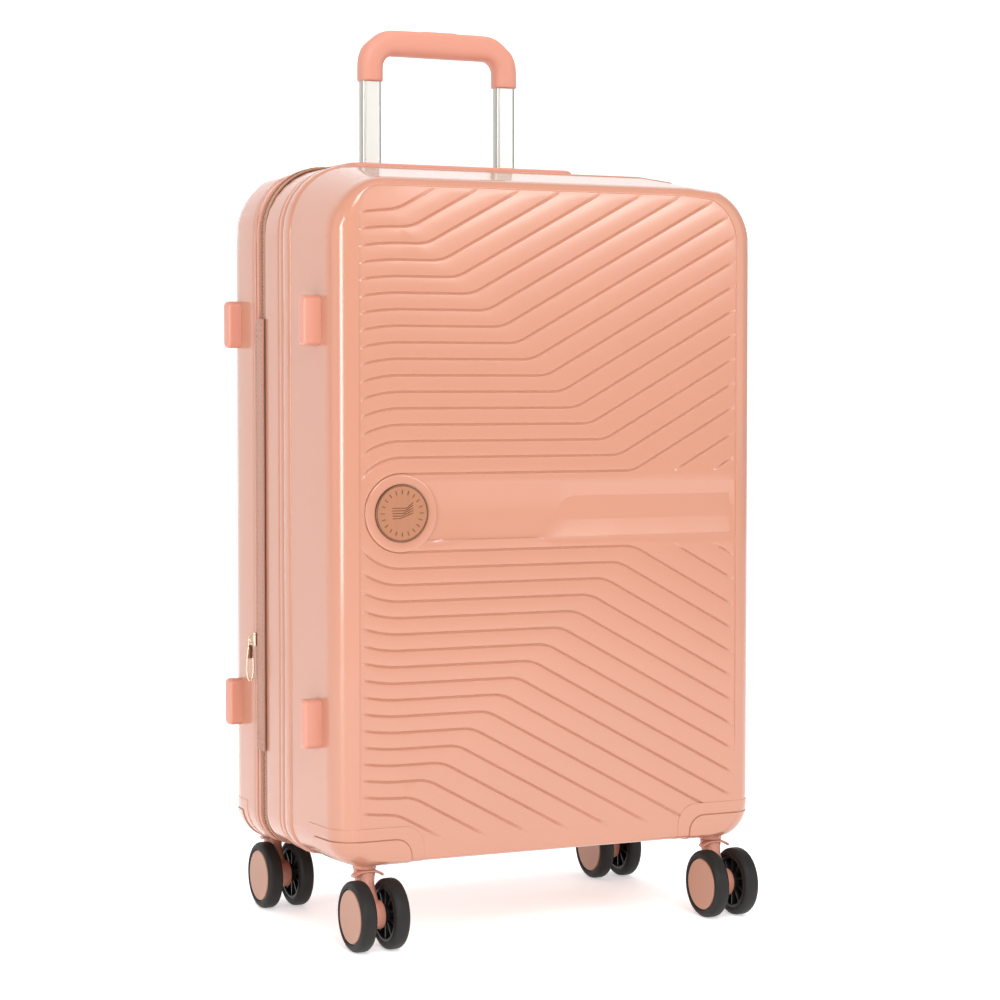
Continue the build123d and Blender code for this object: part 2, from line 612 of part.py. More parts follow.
def make_fork(x, depth):
    """A swivel fork: a round head on the kingpin and one leg between the wheels."""
    axle_y = depth - TRAIL
    head = rod(x, depth, FORK_HEAD_LOW, FORK_TOP, FORK_HEAD_RADIUS)
    boss = cross_rod(x - FORK_LEG_HALF_WIDTH, x + FORK_LEG_HALF_WIDTH, axle_y, WHEEL_RADIUS, FORK_BOSS_RADIUS)
    plane = Plane(origin=(x - FORK_LEG_HALF_WIDTH, 0, 0), x_dir=(0, 1, 0), z_dir=(1, 0, 0))
    stem = FORK_HEAD_RADIUS - 1
    outline = Polyline((axle_y - 10, WHEEL_RADIUS + 6), (depth - stem, FORK_TOP - 3),
                       (depth + stem, FORK_TOP - 3), (depth + stem, KINGPIN_LOW - 4),
                       (axle_y + 11, WHEEL_RADIUS - 5), close=True)
    leg = extrude(plane * make_face(outline), amount=2 * FORK_LEG_HALF_WIDTH)
    fork = head + boss + leg
    fork -= rod(x, depth, KINGPIN_LOW - 0.5, FORK_TOP + 1, KINGPIN_RADIUS + RUNNING_GAP)
    bore = cross_rod(x - AXLE_HALF_LENGTH, x + AXLE_HALF_LENGTH, axle_y, WHEEL_RADIUS, AXLE_RADIUS + FIXED_FIT)
    return fork - bore


def make_axle(x, depth):
    return cross_rod(x - AXLE_HALF_LENGTH, x + AXLE_HALF_LENGTH, depth - TRAIL, WHEEL_RADIUS, AXLE_RADIUS)


def make_tyre(x, y):
    tyre = cross_rod(x - WHEEL_WIDTH / 2, x + WHEEL_WIDTH / 2, y, WHEEL_RADIUS, WHEEL_RADIUS)
    tyre = fillet(tyre.edges(), TYRE_ROUNDING)
    return tyre - cross_rod(x - WHEEL_WIDTH, x + WHEEL_WIDTH, y, WHEEL_RADIUS, TYRE_INNER)


def make_hub(x, y, facing):
    """A wheel hub: a disc with a raised cap outside and a boss towards the fork."""
    inner_face = x - facing * (WHEEL_WIDTH / 2 + 1.2)
    outer_face = x + facing * (WHEEL_WIDTH / 2)
    rim = cross_rod(x - WHEEL_WIDTH / 2 + 1, x + WHEEL_WIDTH / 2 - 1, y, WHEEL_RADIUS, TYRE_INNER - FIXED_FIT)
    hollow = sorted((x - facing * 1.5, x - facing * WHEEL_WIDTH))
    rim -= cross_rod(*hollow, y, WHEEL_RADIUS, TYRE_INNER - HUB_RIM)
    cap = cross_rod(*sorted((x, outer_face)), y, WHEEL_RADIUS, TYRE_INNER - 1)
    boss = cross_rod(*sorted((inner_face, x)), y, WHEEL_RADIUS, HUB_BOSS_RADIUS)
    bore = sorted((inner_face - facing, x + facing * (AXLE_HALF_LENGTH - WHEEL_OFFSET + RUNNING_GAP)))
    return rim + cap + boss - cross_rod(*bore, y, WHEEL_RADIUS, AXLE_RADIUS + RUNNING_GAP)


def caster_nodes():
    """Fork, axle, tyres and hubs of all four casters."""
    nodes = {}
    for end_name, end in (("front", -1), ("back", 1)):
        for side_name, side in SIDES.items():
            x = side * KINGPIN_X
            depth = end * KINGPIN_DEPTH
            name = f"{end_name}_{side_name}"
            nodes[f"{name}_fork"] = make_fork(x, depth)
            nodes[f"{name}_axle"] = make_axle(x, depth)
            for place, facing in (("outer", side), ("inner", -side)):
                wheel_x = x + facing * WHEEL_OFFSET
                nodes[f"{name}_{place}_tyre"] = make_tyre(wheel_x, depth - TRAIL)
                nodes[f"{name}_{place}_hub"] = make_hub(wheel_x, depth - TRAIL, facing)
    return nodes


def all_nodes():
    """Every piece of the suitcase, by node name."""
    back_solid = back_form(0, BACK_FACE)
    front_solid = front_form(0, FRONT_FACE)
    nodes = {
        "back_shell": make_back_shell(),
        "back_lining": make_back_lining(),
        "packing_straps": make_packing_straps(),
        "expander_zip": make_expander_zip(),
        "trolley_bezel": make_trolley_bezel(),
        "trolley_guide_tubes": group(tube_pair(GUIDE_TUBE, GUIDE_LOW, GUIDE_HIGH)),
        "trolley_foot_bracket": make_foot_bracket(),
        "back_side_feet": make_feet(FOOT_DEPTH, back_solid),
        "side_handle_cup": make_side_cup(),
        "back_caster_housings": make_housings(False, back_solid),
        "back_kingpins": make_kingpins(False),
        "mid_frame": make_mid_frame(),
        "expander_gusset": make_gusset(),
        "back_zip_tape": band(ZIP_MIDDLE + 0.05, FRAME_START - 0.05, TAPE_RECESS, TAPE_THICKNESS),
        "hinge_panel": make_hinge_panel(),
        "front_shell": make_front_shell(),
        "front_lining": make_front_lining(),
        "lid_pocket": make_lid_pocket(),
        "front_zip_tape": band(SKIRT_END + 0.1, ZIP_MIDDLE - 0.05, TAPE_RECESS, TAPE_THICKNESS),
        "front_side_feet": make_feet(-FOOT_DEPTH, front_solid),
        "badge": make_badge(),
        "lock_housing": make_lock_housing(),
        "zip_pullers": make_zip_pullers(),
        "front_caster_housings": make_housings(True, front_solid),
        "front_kingpins": make_kingpins(True),
        "middle_tubes": group(tube_pair(MIDDLE_TUBE, MIDDLE_LOW, BEZEL_TOP - 0.5)),
        "grip_tubes": group(tube_pair(GRIP_TUBE, GRIP_TUBE_LOW, GRIP_LOW + GRIP_POCKET)),
        "grip": make_grip(),
        "grip_button": make_grip_button(),
        "top_carry_handle": make_top_handle(),
        "side_carry_handle": make_side_handle(),
        "expander_pull": make_expander_pull(),
        "lock_release": make_lock_release(),
    }
    for number, height in enumerate(DIAL_HEIGHTS, start=1):
        nodes[f"lock_dial_{number}"] = make_dial(height)
    nodes.update(caster_nodes())
    return nodes


def main():
    os.makedirs("parts", exist_ok=True)
    for name, shape in all_nodes().items():
        export_step(Pos(0, BODY_Y, 0) * shape, f"parts/{name}.step")


if __name__ == "__main__":
    main()
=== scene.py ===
import math
from collections import namedtuple

import bmesh
import bpy
from mathutils import Euler, Matrix, Vector, noise


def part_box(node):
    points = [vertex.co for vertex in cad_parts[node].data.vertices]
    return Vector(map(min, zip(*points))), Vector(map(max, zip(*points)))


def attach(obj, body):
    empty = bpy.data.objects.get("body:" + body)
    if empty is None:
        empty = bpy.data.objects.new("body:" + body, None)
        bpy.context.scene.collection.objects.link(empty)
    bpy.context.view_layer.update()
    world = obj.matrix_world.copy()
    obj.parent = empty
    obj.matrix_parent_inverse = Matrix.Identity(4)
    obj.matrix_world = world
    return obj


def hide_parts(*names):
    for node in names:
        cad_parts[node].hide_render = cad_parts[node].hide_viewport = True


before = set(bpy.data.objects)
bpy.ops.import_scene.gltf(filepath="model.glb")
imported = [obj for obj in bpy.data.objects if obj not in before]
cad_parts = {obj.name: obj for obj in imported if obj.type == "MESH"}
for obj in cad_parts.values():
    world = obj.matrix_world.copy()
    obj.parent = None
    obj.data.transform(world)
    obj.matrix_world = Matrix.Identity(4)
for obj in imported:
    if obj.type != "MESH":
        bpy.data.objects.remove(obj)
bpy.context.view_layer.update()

bl_info = {
    "name": "Spinner suitcase",
    "version": (1, 0, 0),
    "blender": (4, 5, 0),
    "location": "View3D > Sidebar > Suitcase",
    "description": "Builds the shells, bands, handles, casters and linings of a suitcase on its packed frame",
    "category": "Object",
}

MM = 0.001
SIDES = {"left": -1, "right": 1}
ENDS = {"front": -1, "back": 1}

# Places read from the frame
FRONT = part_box("front_shell")[0].y
BACK_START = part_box("back_shell")[0].y
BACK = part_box("back_shell")[1].y
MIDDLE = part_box("back_shell")[1].y - 128 * MM
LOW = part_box("back_shell")[0].z
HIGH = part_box("back_shell")[1].z
BADGE_X = (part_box("badge")[0].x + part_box("badge")[1].x) / 2
BADGE_Z = (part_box("badge")[0].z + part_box("badge")[1].z) / 2

# Case outline: half width and corner radii of the straight walls
HALF_WIDTH = 208 * MM
TOP_RADIUS = 60 * MM
BOTTOM_RADIUS = 30 * MM
WALL = 2.5 * MM
CORNER_STEPS = 12

# Groove pattern: rows run round the badge, straight across, round a bend and up a slant
GROOVES = 17
PITCH = 13.85 * MM
RING_RADIUS = 33 * MM
SLOPE = 0.545
SLANT = math.atan(SLOPE)
SLANT_PITCH = 21.6 * MM
BEND_X = 78.9 * MM
BEND_STEP = (SLANT_PITCH - PITCH) / SLOPE
BEND_RADIUS = 35 * MM
GROOVE_HALF = 1.65 * MM
PROFILE_STEPS = 3
FADE_START = 1.5 * MM
FADE_LENGTH = 6 * MM
ARC_PARTS = (0, 0.05, 0.1, 0.16, 0.24, 0.34, 0.45, 0.56, 0.67, 0.78, 0.89, 1)
STRAIGHT_PARTS = (0.075, 0.154, 0.33, 0.52, 0.687, 0.715, 0.75, 0.80, 0.9, 1)
BEND_PARTS = (0.2, 0.4, 0.6, 0.8, 1)
SLANT_PARTS = (0.3, 0.6)
END_DISTANCES = (14 * MM, 9 * MM, 5 * MM, 2 * MM, 0)
SHORT_STARTS = (2.5 * MM, 5 * MM, 8 * MM, 12 * MM, 18 * MM)

LONG_SLANT = 60 * MM          # a slant shorter than this has its points drawn together
SHORT_GROOVE_GAP = 10 * MM    # the least distance of a short groove's foot from the outline
SHORT_GROOVE_FADE = (1.5 * MM, 4 * MM)
DROP_HEIGHT = 90 * MM         # the height over which the face draws in towards the foot
HALVINGS = 26                 # halvings in the search for a crossing

# How near two vertices are to count as one, and how far apart those on the rim stay
SAME = 2e-6
RIM_GAP = 0.35 * MM
RIM_STEP = 4 * MM

# Smooth band beside the badge, with its scoop
BAND_HALF = 23 * MM
BAND_STEP = 0.9 * MM
BAND_DROP = 1.5 * MM
SCOOP_DROP = 3.2 * MM
SCOOP_LINE = 3 * MM
SCOOP_COLUMN = 5
SCOOP_LEAN = 0.85
COVE_PARTS = (0, 0.55, 0.85, 1)
BAND_MARGIN = 2 * MM
BAND_START = 20 * MM

Section = namedtuple("Section", "y half_width low high radii")


# ---------------------------------------------------------------- outlines

def corner_centres(section):
    """Centre, radius and start angle of the four corners: top left, top right, bottom right, bottom left."""
    w, low, high, radii = section.half_width, section.low, section.high, section.radii
    signs = ((-1, 1), (1, 1), (1, -1), (-1, -1))
    corners = []
    for index, (sx, sz) in enumerate(signs):
        radius = radii[index]
        centre = Vector((sx * (w - radius), 0, (high - radius) if sz > 0 else (low + radius)))
        corners.append((centre, radius, math.radians(180 - 90 * index)))
    return corners


def spot(section, index, on_corner, part):
    """The point of an outline at a part of a corner, or of the straight after that corner."""
    corners = corner_centres(section)
    centre, radius, start = corners[index]
    angle = start - math.radians(90) * (part if on_corner else 1)
    point = centre + radius * Vector((math.cos(angle), 0, math.sin(angle)))
    if not on_corner:
        after, next_radius, next_start = corners[(index + 1) % 4]
        end = after + next_radius * Vector((math.cos(next_start), 0, math.sin(next_start)))
        point = point.lerp(end, part)
    return Vector((point.x, section.y, point.z))


def locate(section, x, z):
    """Which corner or straight of an outline a point is nearest, and how far along it."""
    corners = corner_centres(section)
    for index, (centre, radius, start) in enumerate(corners):
        middle = start - math.radians(45)
        dx, dz = x - centre.x, z - centre.z
        if dx * math.cos(middle) >= 0 and dz * math.sin(middle) >= 0 and radius > 0:
            angle = math.atan2(dz, dx)
            part = ((start - angle + math.pi) % (2 * math.pi) - math.pi) / math.radians(90)
            return index, True, min(max(part, 0), 1)
    best = None
    for index in range(4):
        a, b = spot(section, index, False, 0), spot(section, index, False, 1)
        run = b - a
        part = min(max((Vector((x, section.y, z)) - a).dot(run) / run.length_squared, 0), 1)
        gap = (a + run * part - Vector((x, section.y, z))).length
        if best is None or gap < best[0]:
            best = (gap, index, part)
    return best[1], False, best[2]


def depth_inside(section, x, z):
    """Distance from a point to a rounded outline, positive inside."""
    middle = (section.low + section.high) / 2
    left = x < 0
    index = (0 if left else 1) if z > middle else (3 if left else 2)
    radius = section.radii[index]
    qx = abs(x) - (section.half_width - radius)
    qz = abs(z - middle) - ((section.high - section.low) / 2 - radius)
    return radius - math.hypot(max(qx, 0), max(qz, 0)) - min(max(qx, qz), 0)


def ring_spots(steps=CORNER_STEPS, straight=1):
    """Places round an outline: every corner in steps, and points along each straight."""
    spots = []
    for index in range(4):
        spots += [(index, True, step / steps) for step in range(steps + 1)]
        spots += [(index, False, step / straight) for step in range(1, straight)]
    return spots


def inset(section, amount, y=None):
    """The same outline drawn in by an amount."""
    return Section(section.y if y is None else y, section.half_width - amount, section.low + amount,
                   section.high - amount, tuple(max(radius - amount, 0.2 * MM) for radius in section.radii))


def wall_section(y, amount=0.0):
    """The straight wall's outline at a depth, drawn in by an amount."""
    return inset(Section(y, HALF_WIDTH, LOW, HIGH, (TOP_RADIUS, TOP_RADIUS, BOTTOM_RADIUS, BOTTOM_RADIUS)),
                 amount)


def walk(section, spacing):
    """Points and directions at even steps round an outline."""
    points = [spot(section, *place) for place in ring_spots(24)]
    points.append(points[0])
    found = []
    left_over = 0.0
    for a, b in zip(points, points[1:]):
        length = (b - a).length
        if length == 0:
            continue
        at = left_over
        while at < length:
            found.append((a.lerp(b, at / length), (b - a) / length))
            at += spacing
        left_over = at - length
    return found


# ---------------------------------------------------------------- mesh helpers

def chain(bm, points, closed=False):
    """Vertices joined by edges."""
    verts = [bm.verts.new(point) for point in points]
    pairs = list(zip(verts, verts[1:]))
    if closed:
        pairs.append((verts[-1], verts[0]))
    for pair in pairs:
        bm.edges.new(pair)
    return verts


def extend(bm, verts, points):
    """Extrudes a chain or ring of vertices and moves the new ones to their points."""
    pairs = zip(verts, verts[1:] + verts[:1])
    edges = list(dict.fromkeys(edge for edge in (bm.edges.get(pair) for pair in pairs) if edge))
    made = bmesh.ops.extrude_edge_only(bm, edges=edges)["geom"]
    fresh = {item for item in made if isinstance(item, bmesh.types.BMVert)}
    after = []
    for vert, point in zip(verts, points):
        twin = next(edge.other_vert(vert) for edge in vert.link_edges if edge.other_vert(vert) in fresh)
        after.append(twin)
        twin.co = point
    return after


def loft(bm, sections, spots=None, start=None, close=False, caps=False):
    """Rings through a row of outlines, joined into a tube, which may be closed into a frame or capped."""
    spots = spots or ring_spots()
    rings = []
    verts = start
    for section in sections:
        points = [spot(section, *place) for place in spots]
        verts = chain(bm, points, closed=True) if verts is None else extend(bm, verts, points)
        rings.append(verts)
    if close:
        edges = [bm.edges.get(pair) for ring in (rings[0], rings[-1])
                 for pair in zip(ring, ring[1:] + ring[:1])]
        bmesh.ops.bridge_loops(bm, edges=edges)
    if caps:
        for ring in (rings[0], rings[-1]):
            bm.faces.new(ring)
    return rings


def box(bm, low, high, bevel=0.0, segments=3, turn=None):
    """A box between two corners, turned if asked, with rounded edges."""
    size = Vector(high) - Vector(low)
    centre = (Vector(high) + Vector(low)) / 2
    place = Matrix.Translation(centre) @ Matrix.Diagonal((*size, 1))
    verts = bmesh.ops.create_cube(bm, size=1, matrix=turn @ place if turn else place)["verts"]
    if bevel:
        edges = list({edge for vert in verts for edge in vert.link_edges})
        bmesh.ops.bevel(bm, geom=edges, offset=bevel, segments=segments, profile=0.5, affect="EDGES",
                        material=-1)


def turned(bm, profile, centre, axis, steps=48):
    """A closed turned form: a profile of (along, radius) pairs spun about an axis through a centre."""
    axis = Vector(axis).normalized()
    across = Vector((0, 0, 1)) if abs(axis.z) < 0.5 else Vector((1, 0, 0))
    points = [Vector(centre) + axis * along + across * radius for along, radius in profile]
    verts = chain(bm, points)
    edges = [bm.edges.get(pair) for pair in zip(verts, verts[1:])]
    made = bmesh.ops.spin(bm, geom=verts + edges, cent=centre, axis=axis, angle=2 * math.pi, steps=steps,
                          use_merge=True)
    return made


def sweep(bm, frames, outline, capped=True):
    """A tube whose cross-section is an outline of (across, out) pairs, one for every frame on a path."""
    verts = None
    first = None
    for index, (centre, across, out) in enumerate(frames):
        shape = outline(index / (len(frames) - 1)) if callable(outline) else outline
        points = [centre + across * a + out * b for a, b in shape]
        verts = chain(bm, points, closed=True) if verts is None else extend(bm, verts, points)
        first = first or verts
    if capped:
        bm.faces.new(first)
        bm.faces.new(verts)


def oval(width, height, steps=16, power=2.0):
    """A rounded outline between an ellipse (power 2) and a rectangle (higher powers)."""
    points = []
    for step in range(steps):
        angle = 2 * math.pi * (step + 0.5) / steps
        c, s = math.cos(angle), math.sin(angle)
        points.append((math.copysign(abs(c) ** (2 / power), c) * width / 2,
                       math.copysign(abs(s) ** (2 / power), s) * height / 2))
    return points


def piece(bm, name, body, material, replaces=(), sharp=38.0, weighted=True):
    """Turns a bmesh into a finished piece that rides on a body."""
    bmesh.ops.remove_doubles(bm, verts=bm.verts, dist=1e-6)
    bmesh.ops.dissolve_degenerate(bm, edges=bm.edges, dist=1e-6)
    bmesh.ops.recalc_face_normals(bm, faces=bm.faces)
    limit = math.radians(sharp)
    for face in bm.faces:
        face.smooth = True
    for edge in bm.edges:
        edge.smooth = len(edge.link_faces) != 2 or edge.calc_face_angle(0) < limit
    mesh = bpy.data.meshes.new(name)
    bm.to_mesh(mesh)
    bm.free()
    thing = bpy.data.objects.new(name, mesh)
    bpy.context.scene.collection.objects.link(thing)
    mesh.materials.append(material)
    if weighted:
        thing.modifiers.new("even normals", "WEIGHTED_NORMAL").keep_sharp = True
    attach(thing, body)
    if replaces:
        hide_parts(*replaces)
    return thing


# ---------------------------------------------------------------- node groups and materials

def new_group(name, inputs, outputs):
    """A shader node group with float inputs and the outputs named."""
    tree = bpy.data.node_groups.new(name, "ShaderNodeTree")
    for label, default in inputs:
        socket = tree.interface.new_socket(name=label, in_out="INPUT", socket_type="NodeSocketFloat")
        socket.default_value = default
    for label in outputs:
        tree.interface.new_socket(name=label, in_out="OUTPUT", socket_type="NodeSocketFloat")
    return tree, tree.nodes.new("NodeGroupInput"), tree.nodes.new("NodeGroupOutput")


def add(tree, kind, links=(), **values):
    """Adds a node, sets its properties and links its inputs, given as (input, output socket) pairs."""
    node = tree.nodes.new(kind)
    for key, value in values.items():
        setattr(node, key, value)
    for label, source in links:
        if isinstance(source, bpy.types.NodeSocket):
            tree.links.new(source, node.inputs[label])
        else:
            node.inputs[label].default_value = source
    return node


def math_node(tree, operation, a, b=0.0, clamp=False):
    return add(tree, "ShaderNodeMath", [(0, a), (1, b)], operation=operation, use_clamp=clamp).outputs[0]


def grain_group():
    """Fine orange peel of moulded plastic, slow tone drift and handling marks."""
    tree, source, out = new_group("moulded grain", [("Grain", 900.0), ("Drift", 9.0)],
                                  ["Height", "Tone", "Marks"])
    place = add(tree, "ShaderNodeTexCoord").outputs["Object"]
    fine = add(tree, "ShaderNodeTexNoise", [("Vector", place), ("Scale", source.outputs["Grain"]),
                                            ("Detail", 2.0)])
    slow = add(tree, "ShaderNodeTexNoise", [("Vector", place), ("Scale", source.outputs["Drift"]),
                                            ("Detail", 3.0)])
    marks = add(tree, "ShaderNodeTexNoise", [("Vector", place), ("Scale", 38.0), ("Detail", 6.0),
                                             ("Roughness", 0.7)])
    tree.links.new(fine.outputs["Fac"], out.inputs["Height"])
    tree.links.new(slow.outputs["Fac"], out.inputs["Tone"])
    tree.links.new(math_node(tree, "POWER", marks.outputs["Fac"], 2.0), out.inputs["Marks"])
    return tree


def weave_group():
    """Two crossed sets of threads, as a height and a mask: painted shade in the thread valleys, with random
    fuzz tone.
    """
    tree, source, out = new_group("weave", [("Threads", 1400.0)], ["Height", "Shade"])
    place = add(tree, "ShaderNodeTexCoord").outputs["Object"]
    parts = add(tree, "ShaderNodeSeparateXYZ", [(0, place)])
    flat = math_node(tree, "ADD", parts.outputs["X"], parts.outputs["Y"])
    across = math_node(tree, "SINE", math_node(tree, "MULTIPLY", flat, source.outputs["Threads"]))
    along = math_node(tree, "SINE", math_node(tree, "MULTIPLY", parts.outputs["Z"],
                                              source.outputs["Threads"]))
    crossed = math_node(tree, "MULTIPLY", across, along)
    height = math_node(tree, "MULTIPLY_ADD", crossed, 0.5)
    height.node.inputs[2].default_value = 0.5
    fuzz = add(tree, "ShaderNodeTexNoise", [("Vector", place), ("Scale", 260.0), ("Detail", 4.0)])
    # painted shade: the mask is low in the thread valleys, so the cloth colour darkens there; the fuzz noise
    # adds random tone
    shade = math_node(tree, "MULTIPLY", height, fuzz.outputs["Fac"])
    tree.links.new(height, out.inputs["Height"])
    tree.links.new(shade, out.inputs["Shade"])
    return tree


def brushed_group():
    """Long fine scratches along Z."""
    tree, source, out = new_group("brushed", [("Lines", 1.0)], ["Height", "Streak"])
    place = add(tree, "ShaderNodeTexCoord").outputs["Object"]
    long = add(tree, "ShaderNodeMapping", [("Vector", place), ("Scale", (2600, 2600, 14))])
    lines = add(tree, "ShaderNodeTexNoise", [("Vector", long.outputs[0]), ("Scale", source.outputs["Lines"]),
                                             ("Detail", 3.0)])
    tree.links.new(lines.outputs["Fac"], out.inputs["Height"])
    tree.links.new(lines.outputs["Fac"], out.inputs["Streak"])
    return tree


def shared_group(name, maker):
    """A node group, made the first time that it is asked for."""
    return bpy.data.node_groups.get(name) or maker()


def start_material(name, colour, roughness, metallic=0.0, coat=0.0, specular=0.5, sheen=0.0):
    """A Principled material with its even values set on the shader itself."""
    material = bpy.data.materials.new(name)
    material.use_nodes = True
    shader = material.node_tree.nodes["Principled BSDF"]
    shader.inputs["Base Color"].default_value = (*colour, 1)
    shader.inputs["Roughness"].default_value = roughness
    shader.inputs["Metallic"].default_value = metallic
    shader.inputs["Coat Weight"].default_value = coat
    shader.inputs["Coat Roughness"].default_value = 0.08
    shader.inputs["Specular IOR Level"].default_value = specular
    shader.inputs["Sheen Weight"].default_value = sheen
    material.diffuse_color = (*colour, 1)
    return material, material.node_tree, shader


def shade_between(tree, shader, mask, colour, dark):
    """Base colour that drifts between a colour and a darker one by a mask."""
    mix = add(tree, "ShaderNodeMix", data_type="RGBA")
    tree.links.new(mask, mix.inputs["Factor"])
    mix.inputs["A"].default_value = (*[part * dark for part in colour], 1)
    mix.inputs["B"].default_value = (*colour, 1)
    tree.links.new(mix.outputs["Result"], shader.inputs["Base Color"])


def rough_between(tree, shader, mask, low, high):
    """Roughness that follows a mask."""
    span = add(tree, "ShaderNodeMapRange", [("Value", mask), ("To Min", low), ("To Max", high)])
    tree.links.new(span.outputs["Result"], shader.inputs["Roughness"])


def bump(tree, shader, height, strength, distance):
    node = add(tree, "ShaderNodeBump", [("Height", height), ("Strength", strength), ("Distance", distance)])
    tree.links.new(node.outputs["Normal"], shader.inputs["Normal"])


def plastic(name, colour, roughness=0.3, coat=0.0, grain=700.0, depth=0.00002, dark=0.94):
    """Moulded plastic: orange peel, slow tone drift and faint handling marks."""
    material, tree, shader = start_material(name, colour, roughness, coat=coat)
    group = add(tree, "ShaderNodeGroup", node_tree=shared_group("moulded grain", grain_group))
    group.inputs["Grain"].default_value = grain
    shade_between(tree, shader, group.outputs["Tone"], colour, dark)
    rough_between(tree, shader, group.outputs["Marks"], roughness * 0.85, roughness * 1.3)
    bump(tree, shader, group.outputs["Height"], 0.35, depth)
    return material


def cloth(name, colour, threads=1400.0, roughness=0.85, dark=0.7):
    """Woven cloth or tape."""
    material, tree, shader = start_material(name, colour, roughness, sheen=0.25, specular=0.25)
    group = add(tree, "ShaderNodeGroup", node_tree=shared_group("weave", weave_group))
    group.inputs["Threads"].default_value = threads
    # base colour darkens by the weave mask: painted shade in the thread valleys, partly random fuzz tone
    shade_between(tree, shader, group.outputs["Shade"], colour, dark)
    rough_between(tree, shader, group.outputs["Shade"], roughness, min(roughness * 1.1, 1))
    bump(tree, shader, group.outputs["Height"], 0.5, 0.0002)
    return material


def metal(name, colour, roughness=0.3, lines=1.0):
    """Satin or plated metal with fine lines."""
    material, tree, shader = start_material(name, colour, roughness, metallic=1.0)
    group = add(tree, "ShaderNodeGroup", node_tree=shared_group("brushed", brushed_group))
    group.inputs["Lines"].default_value = lines
    shade_between(tree, shader, group.outputs["Streak"], colour, 0.88)
    rough_between(tree, shader, group.outputs["Streak"], roughness * 0.8, roughness * 1.25)
    bump(tree, shader, group.outputs["Height"], 0.15, 0.00002)
    return material


def rubber(name, colour):
    """Matt tyre rubber with dust and fine pitting."""
    material, tree, shader = start_material(name, colour, 0.55, specular=0.25)
    group = add(tree, "ShaderNodeGroup", node_tree=shared_group("moulded grain", grain_group))
    group.inputs["Grain"].default_value = 1500.0
    group.inputs["Drift"].default_value = 60.0
    shade_between(tree, shader, group.outputs["Tone"], [part * 1.6 for part in colour], 0.5)
    rough_between(tree, shader, group.outputs["Marks"], 0.45, 0.75)
    bump(tree, shader, group.outputs["Height"], 0.5, 0.00005)
    return material


def chosen(setting):
    """A colour set in the panel."""
    return tuple(getattr(bpy.context.scene.suitcase_finish, setting))


MAKERS = {
    "shell": lambda: plastic("peach shell", chosen("shell_colour"), 0.2, coat=0.35),
    # seam: darker shell plastic for the thin rings round the caster fairings, painted shade standing in for
    # the shadow in the groove round each fairing
    "seam": lambda: plastic("shaded seam", (0.30, 0.11, 0.065), 0.6),
    "trim": lambda: plastic("peach trim", chosen("trim_colour"), 0.36, depth=0.00004),
    "soft trim": lambda: plastic("peach soft grip", chosen("trim_colour"), 0.5,
                                 grain=1600.0, depth=0.00005),
    "cap": lambda: plastic("hub cap", (0.38, 0.182, 0.115), 0.4, grain=1200.0),
    "dark plastic": lambda: plastic("dark plastic", (0.012, 0.011, 0.011), 0.42),
    "tyre": lambda: rubber("tyre rubber", (0.010, 0.009, 0.008)),
    "zip cloth": lambda: cloth("zip cloth", chosen("zip_colour"), 3200.0),
    "panel cloth": lambda: cloth("hinge cloth", chosen("panel_colour"), 2600.0),
    "lining": lambda: cloth("lining cloth", (0.33, 0.25, 0.21), 1500.0),
    "webbing": lambda: cloth("webbing", (0.05, 0.045, 0.042), 1900.0),
    "teeth": lambda: plastic("zip teeth", (0.26, 0.10, 0.045), 0.4),
    "gold": lambda: metal("light gold", (0.86, 0.70, 0.52), 0.22),
    "aluminium": lambda: metal("satin aluminium", (0.50, 0.485, 0.45), 0.34),
    "steel": lambda: metal("plated steel", (0.58, 0.58, 0.60), 0.3),
    "rose gold": lambda: metal("rose gold", (0.48, 0.222, 0.13), 0.38, lines=0.6),
    "bronze": lambda: metal("dark bronze", (0.24, 0.12, 0.07), 0.35),
}


def material(name):
    """A finish, made the first time that it is asked for."""
    key = "finish " + name
    if key not in bpy.context.scene:
        bpy.context.scene[key] = MAKERS[name]().name
    return bpy.data.materials[bpy.context.scene[key]]


def dress(node, name):
    """Gives a CAD node a finish."""
    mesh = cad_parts[node].data
    mesh.materials.clear()
    mesh.materials.append(material(name))


# ---------------------------------------------------------------- grooved faces

